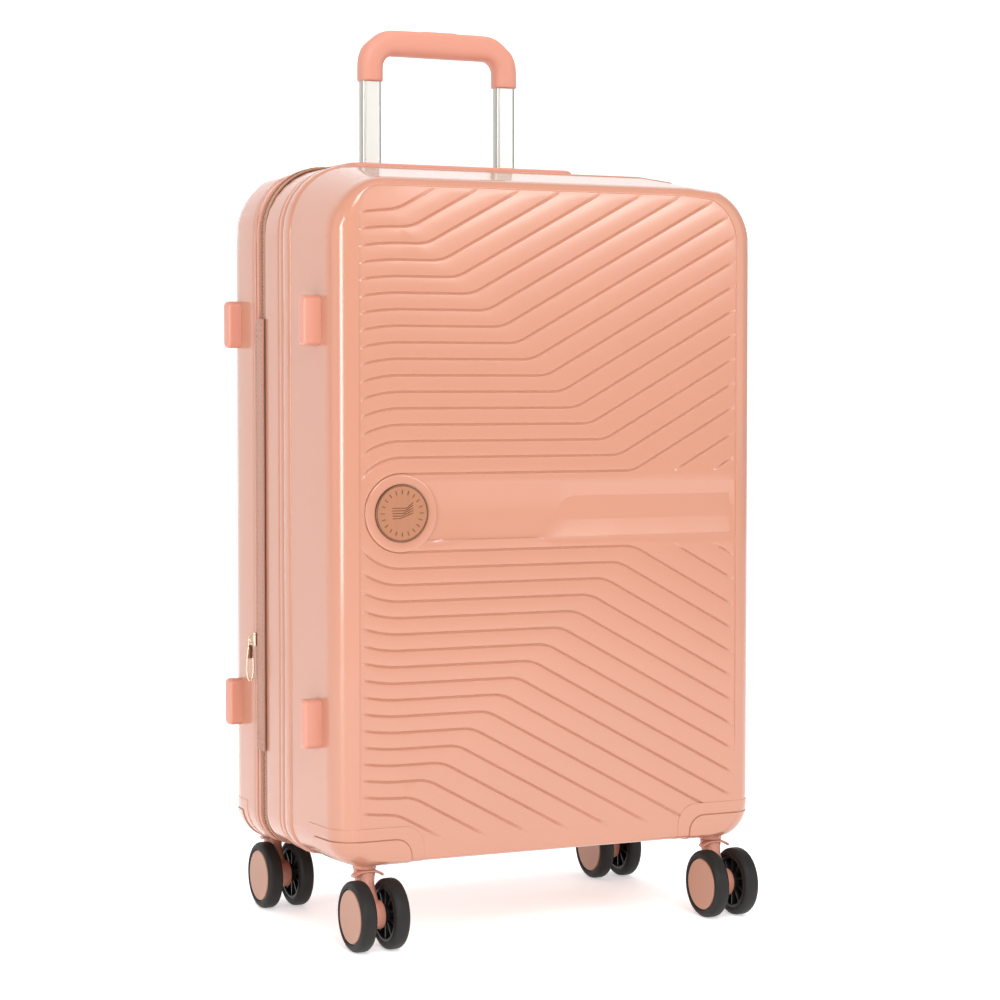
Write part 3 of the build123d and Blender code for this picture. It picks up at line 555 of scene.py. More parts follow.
class Groover:
    """Lays the groove pattern on a flat face inside a rounded outline."""

    def __init__(self, bm, outline, into, flip, depth, drop, count):
        self.count = count
        self.bm = bm
        self.outline = outline
        self.into = into
        self.flip = flip
        self.depth = depth
        self.drop = drop

    def inside(self, x, rise, up):
        return depth_inside(self.outline, x, BADGE_Z + up * rise)

    def place(self, x, rise, up, share=0.0, extra=0.0):
        """A point on the face, sunk by a share of the groove depth where it isn't near the outline."""
        z = BADGE_Z + up * rise
        fade = min(max((depth_inside(self.outline, x, z) - FADE_START) / FADE_LENGTH, 0), 1)
        step = min(max((z - self.outline.low) / DROP_HEIGHT, 0), 1) * self.drop
        sunk = share * fade * fade * (3 - 2 * fade) * self.depth + extra + step
        return Vector((x * self.flip, self.outline.y + sunk * self.into, z))

    def crossing(self, point, up, inner, outer):
        """Where a path of one parameter crosses the outline between an inner and an outer value."""
        for _ in range(HALVINGS):
            middle = (inner + outer) / 2
            if self.inside(*point(middle), up) > 0:
                inner = middle
            else:
                outer = middle
        return inner

    def slant_points(self, start, up, starts):
        """Points up the slant from a start to the outline."""
        direction = (math.cos(SLANT), math.sin(SLANT))

        def at(distance):
            return start[0] + direction[0] * distance, start[1] + direction[1] * distance

        length = 0.0
        if self.inside(*start, up) > 0:
            length = self.crossing(at, up, 0.0, 1.0)
        scale = min(1.0, length / LONG_SLANT)
        points = [at(distance * scale) for distance in starts]
        points += [at(starts[-1] * scale + (length - (END_DISTANCES[0] + starts[-1]) * scale) * part)
                   for part in SLANT_PARTS]
        return points + [at(length - distance * scale) for distance in END_DISTANCES]

    def row(self, index, offset, up):
        """One row: round the badge, straight, round the bend and up the slant."""
        radius = RING_RADIUS + PITCH * index + offset
        bend_start = BEND_X - BEND_STEP * index - BEND_RADIUS * math.tan(SLANT / 2)
        top_x = min(BADGE_X, bend_start)
        last = math.acos(max(min((top_x - BADGE_X) / radius, 1), -1))

        def arc(angle):
            return BADGE_X + radius * math.cos(angle), radius * math.sin(angle)

        first = math.pi
        if self.inside(*arc(first), up) <= 0:
            first = self.crossing(arc, up, last, math.pi)
        points = [arc(first + (last - first) * part) for part in ARC_PARTS]
        points += [(top_x + (bend_start - top_x) * part, radius) for part in STRAIGHT_PARTS]
        bend = BEND_RADIUS - offset
        centre = (bend_start, RING_RADIUS + PITCH * index + BEND_RADIUS)
        points += [(centre[0] + bend * math.sin(SLANT * part), centre[1] - bend * math.cos(SLANT * part))
                   for part in BEND_PARTS]
        end = points.pop()
        points += self.slant_points(end, up, (0.0,))
        points = [point if self.inside(*point, up) > -1e-7 else None for point in points]
        if None in points:
            cut = points.index(None)
            last_in = points[cut - 1]
            points = [point or last_in for point in points]
        return points

    def lay(self, verts, row, share, up):
        points = [self.place(x, rise, up, share) for x, rise in row]
        if verts is None:
            return chain(self.bm, points)
        return extend(self.bm, verts, points)

    def half(self, up):
        """The half of the face above (up = 1) or below (up = -1) the middle of the badge."""
        steps = range(-PROFILE_STEPS, PROFILE_STEPS + 1)
        spine_row = self.row(0, -GROOVE_HALF, up)
        spine = self.lay(None, spine_row, 0, up)
        verts = spine
        row = spine_row
        for index in range(self.count):
            for step in steps:
                if (index, step) == (0, -PROFILE_STEPS):
                    continue
                row = self.row(index, GROOVE_HALF * step / PROFILE_STEPS, up)
                share = (1 + math.cos(math.pi * step / PROFILE_STEPS)) / 2
                verts = self.lay(verts, row, share, up)
        self.fill_corner(verts, row, up)
        side = self.wedge(spine, up)
        self.middle(spine, spine_row, side, up)

    def fill_corner(self, verts, row, up):
        """The plain corner past the last row."""
        start = locate(self.outline, row[-1][0], BADGE_Z + up * row[-1][1])
        corner = 0 if up > 0 else 3
        parts = [step / 8 for step in range(9)]
        if up > 0:
            parts.reverse()
        points = [spot(self.outline, corner, True, part) for part in parts]
        ends = (Vector((row[-1][0], 0, BADGE_Z + up * row[-1][1])),
                Vector((row[0][0], 0, BADGE_Z + up * row[0][1])))
        keep = [point for point in points
                if (start[1] is False or point.x - ends[0].x < -0.5 * MM)
                and up * (point.z - ends[1].z) > 0.5 * MM]
        fresh = [self.bm.verts.new(self.place(point.x, up * (point.z - BADGE_Z), up)) for point in keep]
        unique = [verts[0]]
        for vert in verts[1:]:
            if (vert.co - unique[-1].co).length > 1e-7:
                unique.append(vert)
        self.bm.faces.new(unique + fresh)

    def wedge(self, spine, up):
        """The triangle under the first slant, with its short grooves; gives its vertices along the middle."""
        first = len(ARC_PARTS) + len(STRAIGHT_PARTS) - 1
        level = RING_RADIUS - GROOVE_HALF
        verts = spine[first:]
        side = []
        starts = []
        edge = self.outline.half_width
        for index in (-1, -2):
            foot = BEND_X - SLANT_PITCH / SLOPE * index
            if foot > edge - SHORT_GROOVE_GAP:
                continue
            for step in range(PROFILE_STEPS, -PROFILE_STEPS - 1, -1):
                offset = GROOVE_HALF * step / PROFILE_STEPS
                share = (1 + math.cos(math.pi * step / PROFILE_STEPS)) / 2
                starts.append((foot - offset / math.sin(SLANT), share))
        starts += [(edge - 6 * MM, 0), (edge - 1.5 * MM, 0), (edge, 0)]
        plain, grow_over = SHORT_GROOVE_FADE
        for x, share in starts:
            points = self.slant_points((x, level), up, (0.0,) + SHORT_STARTS[:len(BEND_PARTS)])
            points = points[:len(verts) - len(END_DISTANCES)] + points[-len(END_DISTANCES):]
            rising = [min(max((rise - level - plain) / grow_over, 0), 1) for _, rise in points]
            placed = [self.place(px, rise, up, share * grow) for (px, rise), grow in zip(points, rising)]
            verts = extend(self.bm, verts, placed)
            side.append(verts[0])
        return side

    def middle(self, spine, spine_row, side, up):
        """The smooth band and its scoop, down to the middle of the badge."""
        count = len(ARC_PARTS) + len(STRAIGHT_PARTS)
        verts = spine[:count] + side
        xs = [x for x, _ in spine_row[:count]] + [vert.co.x * self.flip for vert in side]
        arcs = len(ARC_PARTS)
        scoop = arcs + SCOOP_COLUMN - 1
        levels = (BAND_HALF + BAND_STEP, BAND_HALF, SCOOP_LINE, 0.0)
        for level in levels:
            points = []
            first = math.pi
            if BADGE_X - level < -self.outline.half_width:
                first = math.acos((-self.outline.half_width - BADGE_X) / level)
            for column, x in enumerate(xs):
                if column < arcs:
                    angle = first + (math.pi / 2 - first) * ARC_PARTS[column]
                    points.append(self.place(BADGE_X + level * math.cos(angle), level * math.sin(angle), up))
                    continue
                lean = 0.0
                if scoop <= column <= scoop + 3:
                    lean = -SCOOP_LEAN * max(SCOOP_LINE - level * up, 0)
                deep = self.band_drop(column - scoop, x, level * up) if level <= BAND_HALF else 0
                points.append(self.place(x + lean, level, up, 0, deep))
            verts = extend(self.bm, verts, points)

    def band_drop(self, past, x, z):
        """How far the band is sunk, some columns past the scoop's edge and at a height from its middle."""
        if self.outline.half_width - abs(x) < BAND_MARGIN or x < BADGE_X + BAND_START:
            return 0.0
        cove = COVE_PARTS[min(max(past, 0), 3)]
        if z >= SCOOP_LINE:
            part = (BAND_HALF - z) / (BAND_HALF - SCOOP_LINE)
            return BAND_DROP * (0.5 + 0.5 * part) + (SCOOP_DROP - BAND_DROP) * cove * part
        part = (z + BAND_HALF) / (BAND_HALF + SCOOP_LINE)
        return BAND_DROP * (1 - 0.5 * cove) + (SCOOP_DROP - BAND_DROP * (1 - 0.5 * cove)) * cove * part

    def build(self):
        """Both halves, and the ring of vertices round them, each with its place on the outline."""
        for up in (1, -1):
            self.half(up)
        bmesh.ops.remove_doubles(self.bm, verts=self.bm.verts, dist=SAME)
        bmesh.ops.dissolve_degenerate(self.bm, edges=self.bm.edges, dist=SAME)
        close = {vert for edge in self.bm.edges if edge.is_boundary for vert in edge.verts}
        bmesh.ops.remove_doubles(self.bm, verts=list(close), dist=RIM_GAP)
        rim = [edge for edge in self.bm.edges if edge.is_boundary]
        long = [edge for edge in rim if edge.calc_length() > RIM_STEP
                and all(self.on_corner(vert) for vert in edge.verts)]
        bmesh.ops.subdivide_edges(self.bm, edges=long, cuts=3)
        ring = self.ordered_rim()
        places = []
        for vert in ring:
            place = locate(self.outline, vert.co.x * self.flip, vert.co.z)
            point = spot(self.outline, *place)
            vert.co = self.place(point.x, point.z - BADGE_Z, 1)
            places.append(place)
        return ring, places

    def on_corner(self, vert):
        return locate(self.outline, vert.co.x * self.flip, vert.co.z)[1]

    def ordered_rim(self):
        """The boundary's vertices in order."""
        edges = {edge for edge in self.bm.edges if edge.is_boundary}
        edge = next(iter(sorted(edges, key=lambda item: item.index)))
        start, vert = edge.verts
        ring = [start]
        while vert is not start:
            ring.append(vert)
            edges.discard(edge)
            edge = next(item for item in vert.link_edges if item in edges)
            vert = edge.other_vert(vert)
        return ring


def shell_with_grooves(bm, outline, sections, into, flip, depth, drop, count=GROOVES):
    """A closed shell: a grooved face, extruded through outlines round to its inner face."""
    ring, places = Groover(bm, outline, into, flip, depth, drop, count).build()
    verts = ring
    for section in sections:
        points = [spot(section, *place) for place in places]
        points = [Vector((point.x * flip, point.y, point.z)) for point in points]
        verts = extend(bm, verts, points)
    bm.faces.new(verts)


# ---------------------------------------------------------------- settings

class SuitcaseShells(bpy.types.PropertyGroup):
    groove_depth: bpy.props.FloatProperty(
        name="Groove depth", description="How deep the moulded grooves are", default=1.5 * MM, min=0.0,
        unit="LENGTH", subtype="DISTANCE", precision=4)
    panel_drop: bpy.props.FloatProperty(
        name="Panel drop", description="How far the grooved panel is sunk at its top edge", default=0.9 * MM,
        min=0.0, unit="LENGTH", subtype="DISTANCE", precision=4)
    rim_bead: bpy.props.FloatProperty(
        name="Rim bead", description="How far the rolled rim stands out from the front shell's wall",
        default=1.0 * MM, min=0.0, unit="LENGTH", subtype="DISTANCE", precision=4)
    fairing_rise: bpy.props.FloatProperty(
        name="Fairing rise", description="How far the caster fairings stand out from the shell",
        default=1.2 * MM, min=0.0, unit="LENGTH", subtype="DISTANCE", precision=4)


class SuitcaseBands(bpy.types.PropertyGroup):
    tooth_pitch: bpy.props.FloatProperty(
        name="Zip tooth pitch", description="Distance between two zip teeth", default=3.0 * MM, min=0.5 * MM,
        unit="LENGTH", subtype="DISTANCE", precision=4)
    stitch_length: bpy.props.FloatProperty(
        name="Stitch length", description="Length of one stitch on the cloth pieces", default=3.2 * MM,
        min=0.5 * MM, unit="LENGTH", subtype="DISTANCE", precision=4)


class SuitcaseFinish(bpy.types.PropertyGroup):
    shell_colour: bpy.props.FloatVectorProperty(
        name="Shell colour", description="Colour of the moulded shells", default=(0.47, 0.212, 0.138),
        size=3, min=0.0, max=1.0, subtype="COLOR")
    trim_colour: bpy.props.FloatVectorProperty(
        name="Trim colour", description="Colour of the handles, feet and casters",
        default=(0.56, 0.235, 0.165),
        size=3, min=0.0, max=1.0, subtype="COLOR")
    zip_colour: bpy.props.FloatVectorProperty(
        name="Zip colour", description="Colour of the zip tapes", default=(0.42, 0.195, 0.115),
        size=3, min=0.0, max=1.0, subtype="COLOR")
    panel_colour: bpy.props.FloatVectorProperty(
        name="Hinge cloth colour", description="Colour of the hinge strip and gusset",
        default=(0.46, 0.225, 0.155),
        size=3, min=0.0, max=1.0, subtype="COLOR")


# ---------------------------------------------------------------- shells

def front_wall(back, reach, low, high, radii):
    """One outline of the front shell, a distance behind its front face."""
    return Section(FRONT + back * MM, reach * MM, low * MM, high * MM, tuple(radius * MM for radius in radii))


def front_edge(steps=6):
    """The rounded edge between the front face and the walls."""
    rows = []
    for step in range(steps + 1):
        angle = math.radians(90 * step / steps)
        out, back = math.sin(angle), 23 * (1 - math.cos(angle))
        rows.append(front_wall(back, 183.6 + 20.4 * out, 75.5 - 5.5 * out, 643.6 + 8.4 * out,
                               (21 + 29 * out, 42 + 8 * out, 26 + 4 * out, 26 + 4 * out)))
    return rows


def front_outside(bead):
    """Outlines from the front edge to the skirt: wall, two beads with a crease behind each, and the skirt."""
    rim = (58, 58, 30, 30)
    wall = front_wall(93, 206.4, 68.4, 664.6, (57, 57, 30, 30))
    rows = [wall]
    for back, out in ((94.2, -0.7), (95.4, -0.7), (96.4, 0.5), (98.5, bead), (104, bead * 1.15),
                      (108, bead * 0.9),
                      (109.4, 0.2), (110.4, -0.8), (111.8, -0.8), (112.8, 0.4), (114.5, bead * 0.8),
                      (118, bead * 0.8), (119.6, 0.2), (120.6, -1.1), (121.8, -1.1), (122.8, 0), (124, 0.3)):
        rows.append(front_wall(back, 206.6 + out, 68.2 - out, 665.4 + out, rim))
    rows.append(front_wall(152.6, 207, 68, 667, (60, 60, 30, 30)))
    rows.append(front_wall(154, 206.4, 68.6, 666.4, (59, 59, 29, 29)))
    return rows


def front_inside():
    """Outlines from the skirt back to the front face, on the inner side."""
    rows = [front_wall(154, 204.5, 70.5, 664.5, (57, 57, 28, 28)),
            front_wall(93, 203.6, 71.2, 661.6, (54, 54, 28, 28)),
            front_wall(23, 201.2, 73, 649, (48, 48, 28, 28))]
    for step in range(1, 4):
        angle = math.radians(30 * step)
        out, back = math.cos(angle), 23 - 20 * math.sin(angle)
        rows.append(front_wall(back, 181 + 20.2 * out, 78 - 5 * out, 641 + 8 * out,
                               (30 + 18 * out,) * 2 + (26,) * 2))
    return rows


class SUITCASE_OT_front_shell(bpy.types.Operator):
    """Front shell: grooved face, smooth band with its scoop, rolled rim and skirt"""
    bl_idname = "suitcase.front_shell"
    bl_label = "Front shell"

    def execute(self, context):
        sizes = context.scene.suitcase_shells
        bead = sizes.rim_bead / MM
        bm = bmesh.new()
        outline = front_wall(0, 182.6, 88, 642.4, (20, 40, 30, 30))
        step = [inset(outline, -0.25 * MM), inset(outline, -0.6 * MM)]
        step = [Section(FRONT + 0.1 * MM, *step[0][1:]), Section(FRONT, *step[1][1:])]
        sections = step + front_edge() + front_outside(bead) + front_inside()
        shell_with_grooves(bm, outline, sections, 1, 1, sizes.groove_depth, sizes.panel_drop)
        piece(bm, "front_shell_moulding", "lid", material("shell"), ["front_shell"],
              sharp=50)
        return {"FINISHED"}


def back_edge(steps=6, amount=0.0):
    """The large rounded edge of the back shell, drawn in by an amount."""
    rows = []
    turn = BACK - 41 * MM
    for step in range(steps + 1):
        angle = math.radians(90 * step / steps)
        drawn = (40 * MM - amount) * (1 - math.cos(angle))
        rows.append(Section(turn + (41 * MM - amount) * math.sin(angle), HALF_WIDTH - amount - drawn,
                            LOW + amount + drawn, HIGH - amount - drawn,
                            (TOP_RADIUS - amount - 0.6 * drawn,) * 2 + (BOTTOM_RADIUS - amount - 0.3 * drawn,
                                                                        ) * 2))
    return rows


class SUITCASE_OT_back_shell(bpy.types.Operator):
    """Back shell: the same grooves on its back face, deep walls and a folded lip at its mouth"""
    bl_idname = "suitcase.back_shell"
    bl_label = "Back shell"

    def execute(self, context):
        sizes = context.scene.suitcase_shells
        bm = bmesh.new()
        face = back_edge()[-1]
        outline = Section(BACK, face.half_width - 5 * MM, face.low + 14 * MM, face.high - 10 * MM,
                          (26 * MM, 30 * MM, 18 * MM, 18 * MM))
        outside = list(reversed(back_edge()))
        lip = [wall_section(BACK_START + 7 * MM), wall_section(BACK_START + 5.6 * MM, 0.8 * MM),
               wall_section(BACK_START + 4.6 * MM, 0.8 * MM), wall_section(BACK_START + 3.4 * MM, -0.2 * MM),
               wall_section(BACK_START + 0.8 * MM, 0), wall_section(BACK_START, 0.8 * MM)]
        inside = [wall_section(BACK_START, WALL)] + back_edge(4, WALL)
        shell_with_grooves(bm, outline, outside + lip + inside, -1, -1, sizes.groove_depth, 0.0, 16)
        piece(bm, "back_shell_moulding", "back_half", material("shell"), ["back_shell"],
              sharp=50)
        return {"FINISHED"}


def corner_fairing(sections, side, front, in_x, in_y, top, radius):
    """One bottom corner of a shell's form, cut by three planes, with rounded seams."""
    bm = bmesh.new()
    loft(bm, sections, caps=True)
    cuts = (((side * in_x, 0, 0), (-side, 0, 0)), ((0, 0, top), (0, 0, 1)),
            ((0, in_y, 0), (0, 1 if front else -1, 0)))
    for place, normal in cuts:
        bmesh.ops.bisect_plane(bm, geom=bm.verts[:] + bm.edges[:] + bm.faces[:], plane_co=place,
                               plane_no=normal,
                               clear_outer=True, dist=1e-7)
        bmesh.ops.holes_fill(bm, edges=[edge for edge in bm.edges if edge.is_boundary], sides=0)
    seam = [edge for edge in bm.edges if all(abs(vert.co.x - side * in_x) < 1e-6
                                             and abs(vert.co.z - top) < 1e-6
                                             for vert in edge.verts)]
    bmesh.ops.bevel(bm, geom=seam, offset=radius, segments=6, profile=0.5, affect="EDGES", material=-1)
    edge_y = [edge for edge in bm.edges if all(abs(vert.co.y - in_y) < 1e-6 for vert in edge.verts)
              and all(abs(vert.co.z - top) < 1e-6 for vert in edge.verts)]
    if edge_y and front:
        bmesh.ops.bevel(bm, geom=edge_y, offset=radius * 0.5, segments=4, profile=0.5, affect="EDGES",
                        material=-1)
    bmesh.ops.recalc_face_normals(bm, faces=bm.faces)
    return bm


class SUITCASE_OT_fairings(bpy.types.Operator):
    """Caster fairings at the bottom corners, each on a soft raised boss of the shell"""
    bl_idname = "suitcase.fairings"
    bl_label = "Caster fairings"

    def execute(self, context):
        rise = context.scene.suitcase_shells.fairing_rise
        for end_name, end in ENDS.items():
            front = end < 0
            body = "lid" if front else "back_half"
            rows = front_edge() + [front_wall(60, 205.5, 69, 658, (54, 54, 30, 30))] if front else (
                list(reversed(back_edge())) + [wall_section(BACK_START + 20 * MM)])
            for side_name, side in SIDES.items():
                for kind, grown, in_x, depth, top, radius, bevel in (
                        ("boss", rise * 0.4, 124 * MM, 12 * MM, 103 * MM, 18 * MM, 1.2 * MM),
                        ("cover", -4 * MM, 120 * MM, 16 * MM, 107 * MM, 20 * MM, 1.5 * MM),
                        # seam: a thin dark ring just outside each fairing, painted shade where the groove
                        # round the fairing lies in shadow
                        ("seam", rise * 0.55, 135 * MM, 1 * MM, 93 * MM, 15 * MM, 0.3 * MM),
                        ("fairing", rise, 136 * MM, 0, 92 * MM, 14 * MM, 0.8 * MM)):
                    sections = [Section(row.y + (end * grown if row is rows[0] else 0),
                                        *inset(row, -grown)[1:]) for row in rows]
                    in_y = MIDDLE + end * (82 * MM - depth)
                    bm = corner_fairing(sections, side, front, in_x, in_y, top, radius)
                    name = f"{end_name}_{side_name}_caster_{kind}"
                    replaced = [f"{end_name}_caster_housings"] if kind == "fairing" else []
                    slot, finish = {"cover": ("lining_cloth", "lining"),
                                    "seam": ("shell_plastic", "seam")}.get(
                        kind, ("shell_plastic", "shell"))
                    thing = piece(bm, name, body, material(finish), replaced, weighted=False)
                    soft = thing.modifiers.new("soft seams", "BEVEL")
                    soft.width, soft.segments, soft.limit_method = bevel, 3, "ANGLE"
                    soft.angle_limit = math.radians(38)
                    soft.harden_normals = False
                    thing.modifiers.new("even normals", "WEIGHTED_NORMAL").keep_sharp = True
        return {"FINISHED"}


# ---------------------------------------------------------------- bands, zips and hinge

def band(name, body, finish, rows, replaces=(), sharp=38):
    """A closed band round the case from (depth, inset) corners of its cross-section."""
    bm = bmesh.new()
    loft(bm, [wall_section(y, amount) for y, amount in rows], close=True)
    return piece(bm, name, body, material(finish), replaces, sharp)


def tape_rows(start, end, outer, thickness, ribs=2):
    """Cross-section of a zip tape with ribs woven along it."""
    rows = [(start, outer)]
    width = end - start
    for rib in range(ribs):
        middle = start + width * (rib + 0.5) / ribs
        for offset, proud in ((-0.9, 0), (-0.5, 0.25), (0.5, 0.25), (0.9, 0)):
            rows.append((middle + offset * MM, outer - proud * MM))
    return rows + [(end, outer), (end, outer + thickness), (start, outer + thickness)]


def teeth(name, body, y, spacing, amount):
    """Zip teeth round the case at one depth."""
    bm = bmesh.new()
    for index, (point, along) in enumerate(walk(wall_section(y, amount), spacing)):
        out = Vector((0, 1, 0)).cross(along).normalized()
        if out.dot(Vector((point.x, 0, point.z - (LOW + HIGH) / 2))) < 0:
            out = -out
        lean = Vector((0, 0.5 * MM * (1 if index % 2 else -1), 0))
        turn = Matrix((along, Vector((0, 1, 0)), out)).transposed().to_4x4()
        place = Matrix.Translation(point + lean + out * 0.1 * MM) @ turn @ Matrix.Diagonal(
            (spacing * 0.55, 1.7 * MM, 1.1 * MM, 1))
        bmesh.ops.create_cube(bm, size=1, matrix=place)
    return piece(bm, name, body, material("teeth"), weighted=False, sharp=30)


def stitches(name, body, finish, lines, length, lift):
    """Rows of raised stitches along straight lines, given as start, end and outward direction."""
    bm = bmesh.new()
    for start, end, out in lines:
        start, end, out = Vector(start), Vector(end), Vector(out)
        run = end - start
        count = max(int(run.length / (length * 1.5)), 1)
        along = run.normalized()
        side = out.cross(along)
        for index in range(count):
            centre = start + run * ((index + 0.5) / count) + out * lift
            place = Matrix.Translation(centre) @ Matrix((along, side, out)).transposed().to_4x4()
            place = place @ Matrix.Diagonal((length / 2, 0.35 * MM, 0.3 * MM, 1))
            bmesh.ops.create_icosphere(bm, subdivisions=1, radius=1, matrix=place)
    return piece(bm, name, body, material(finish), weighted=False)


class SUITCASE_OT_bands(bpy.types.Operator):
    """Middle frame, gusset, and the main and expander zips with their teeth"""
    bl_idname = "suitcase.bands"
    bl_label = "Bands and zips"

    def execute(self, context):
        pitch = context.scene.suitcase_bands.tooth_pitch
        frame_low, frame_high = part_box("mid_frame")[0].y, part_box("mid_frame")[1].y
        gusset_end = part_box("expander_gusset")[1].y
        zips = [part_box(name) for name in ("front_zip_tape", "back_zip_tape", "expander_zip")]
        band("middle_frame_moulding", "middle_band", "trim",
             [(frame_low, 1.0 * MM), (frame_low + 0.5 * MM, 0.6 * MM), (frame_high - 0.5 * MM, 0.6 * MM),
              (frame_high, 1.0 * MM), (frame_high, 3.6 * MM), (frame_low, 3.6 * MM)], ["mid_frame"])
        band("gusset_sleeve", "middle_band", "panel cloth",
             [(frame_high, 2.9 * MM), (gusset_end, 2.9 * MM), (gusset_end, 4.1 * MM), (frame_high, 4.1 * MM)],
             ["expander_gusset"])
        front, back = zips[:2]
        band("front_zip_weave", "lid", "zip cloth",
             tape_rows(front[0].y, front[1].y, 1.4 * MM, 1.2 * MM), ["front_zip_tape"])
        band("back_zip_weave", "middle_band", "zip cloth",
             tape_rows(back[0].y, back[1].y, 1.4 * MM, 1.2 * MM), ["back_zip_tape"])
        expander_end = BACK_START - 0.3 * MM
        band("expander_zip_weave", "back_half", "zip cloth",
             [(frame_high + 0.1 * MM, 1.3 * MM), (expander_end, 1.3 * MM), (expander_end, 2.6 * MM),
              (frame_high + 0.1 * MM, 2.6 * MM)], ["expander_zip"])
        teeth("front_zip_teeth", "lid", front[1].y - 1.0 * MM, pitch, 1.1 * MM)
        teeth("back_zip_teeth", "middle_band", back[0].y + 1.0 * MM, pitch, 1.1 * MM)
        return {"FINISHED"}


class SUITCASE_OT_hinge_strip(bpy.types.Operator):
    """Cloth hinge strip on the left wall with its sewn edges"""
    bl_idname = "suitcase.hinge_strip"
    bl_label = "Hinge strip"

    def execute(self, context):
        low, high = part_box("hinge_panel")
        bm = bmesh.new()
        box(bm, low, high, bevel=0.5 * MM, segments=2)
        piece(bm, "hinge_cloth", "hinge_strip", material("panel cloth"), ["hinge_panel"])
        length = context.scene.suitcase_bands.stitch_length
        out = (-1, 0, 0)
        y0, y1 = low.y + 2.4 * MM, high.y - 2.4 * MM
        z0, z1 = low.z + 3 * MM, high.z - 3 * MM
        lines = [((low.x, y0, z0), (low.x, y0, z1), out), ((low.x, y1, z0), (low.x, y1, z1), out)]
        for base, rise in ((z0, 1), (z1, -1)):
            top = base + rise * 14 * MM
            lines += [((low.x, y0, base), (low.x, y1, base), out), ((low.x, y0, top), (low.x, y1, top), out),
                      ((low.x, y0, base), (low.x, y1, top), out)]
        stitches("hinge_stitching", "hinge_strip", "zip cloth", lines, length, 0.1 * MM)
        return {"FINISHED"}


# ---------------------------------------------------------------- top of the case

class SUITCASE_OT_bezel(bpy.types.Operator):
    """Bezel on top with collars for the tubes and a well for the carry handle"""
    bl_idname = "suitcase.bezel"
    bl_label = "Bezel"

    def execute(self, context):
        dress("trolley_bezel", "trim")
        dress("side_handle_cup", "dark plastic")
        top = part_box("trolley_bezel")[1].z
        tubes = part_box("middle_tubes")
        reach, y = tubes[1].x - 11.5 * MM, (tubes[0].y + tubes[1].y) / 2
        bm = bmesh.new()
        for side in SIDES.values():
            rows = []
            for z, grow in ((top - 3 * MM, 0.3), (top + 0.6 * MM, 0.3), (top + 0.9 * MM, 0.6),
                            (top + 0.9 * MM, 2.2),
                            (top + 0.5 * MM, 2.8), (top - 0.5 * MM, 2.8)):
                rows.append((z, grow * MM))
            verts = None
            first = None
            for z, grow in rows + [rows[0]]:
                points = [Vector((side * reach + px, y + py, z))
                          for px, py in oval(23 * MM + 2 * grow + 0.5 * MM, 15 * MM + 2 * grow + 0.5 * MM,
                                             48, 6)]
                verts = chain(bm, points, closed=True) if verts is None else extend(bm, verts, points)
                first = first or verts
        piece(bm, "tube_collars", "back_half", material("trim"))
        return {"FINISHED"}


def bowed_handle(name, body, plate_low, plate_high, replaces, legs):
    """A carry handle: a plate with rounded edges and two legs."""
    bm = bmesh.new()
    box(bm, plate_low, plate_high, bevel=2.0 * MM, segments=4)
    for low, high in legs:
        box(bm, low, high, bevel=0.8 * MM, segments=2)
    return piece(bm, name, body, material("soft trim"), replaces, sharp=60)


class SUITCASE_OT_carry_handles(bpy.types.Operator):
    """Carry handles on the top and on the right wall"""
    bl_idname = "suitcase.carry_handles"
    bl_label = "Carry handles"

    def execute(self, context):
        low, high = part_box("top_carry_handle")
        plate_z = high.z - 4.5 * MM
        legs = [((x, high.y - 10 * MM, low.z), (x + 8 * MM, high.y, plate_z + 1 * MM))
                for x in (low.x, high.x - 8 * MM)]
        bowed_handle("top_handle_moulding", "top_handle", (low.x, low.y, plate_z), high,
                     ["top_carry_handle"], legs)
        low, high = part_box("side_carry_handle")
        plate_x = high.x - 4.5 * MM
        legs = [((low.x, high.y - 10 * MM, z), (plate_x + 1 * MM, high.y, z + 8 * MM))
                for z in (low.z, high.z - 8 * MM)]
        bowed_handle("side_handle_moulding", "side_handle", (plate_x, low.y, low.z), high,
                     ["side_carry_handle"], legs)
        return {"FINISHED"}


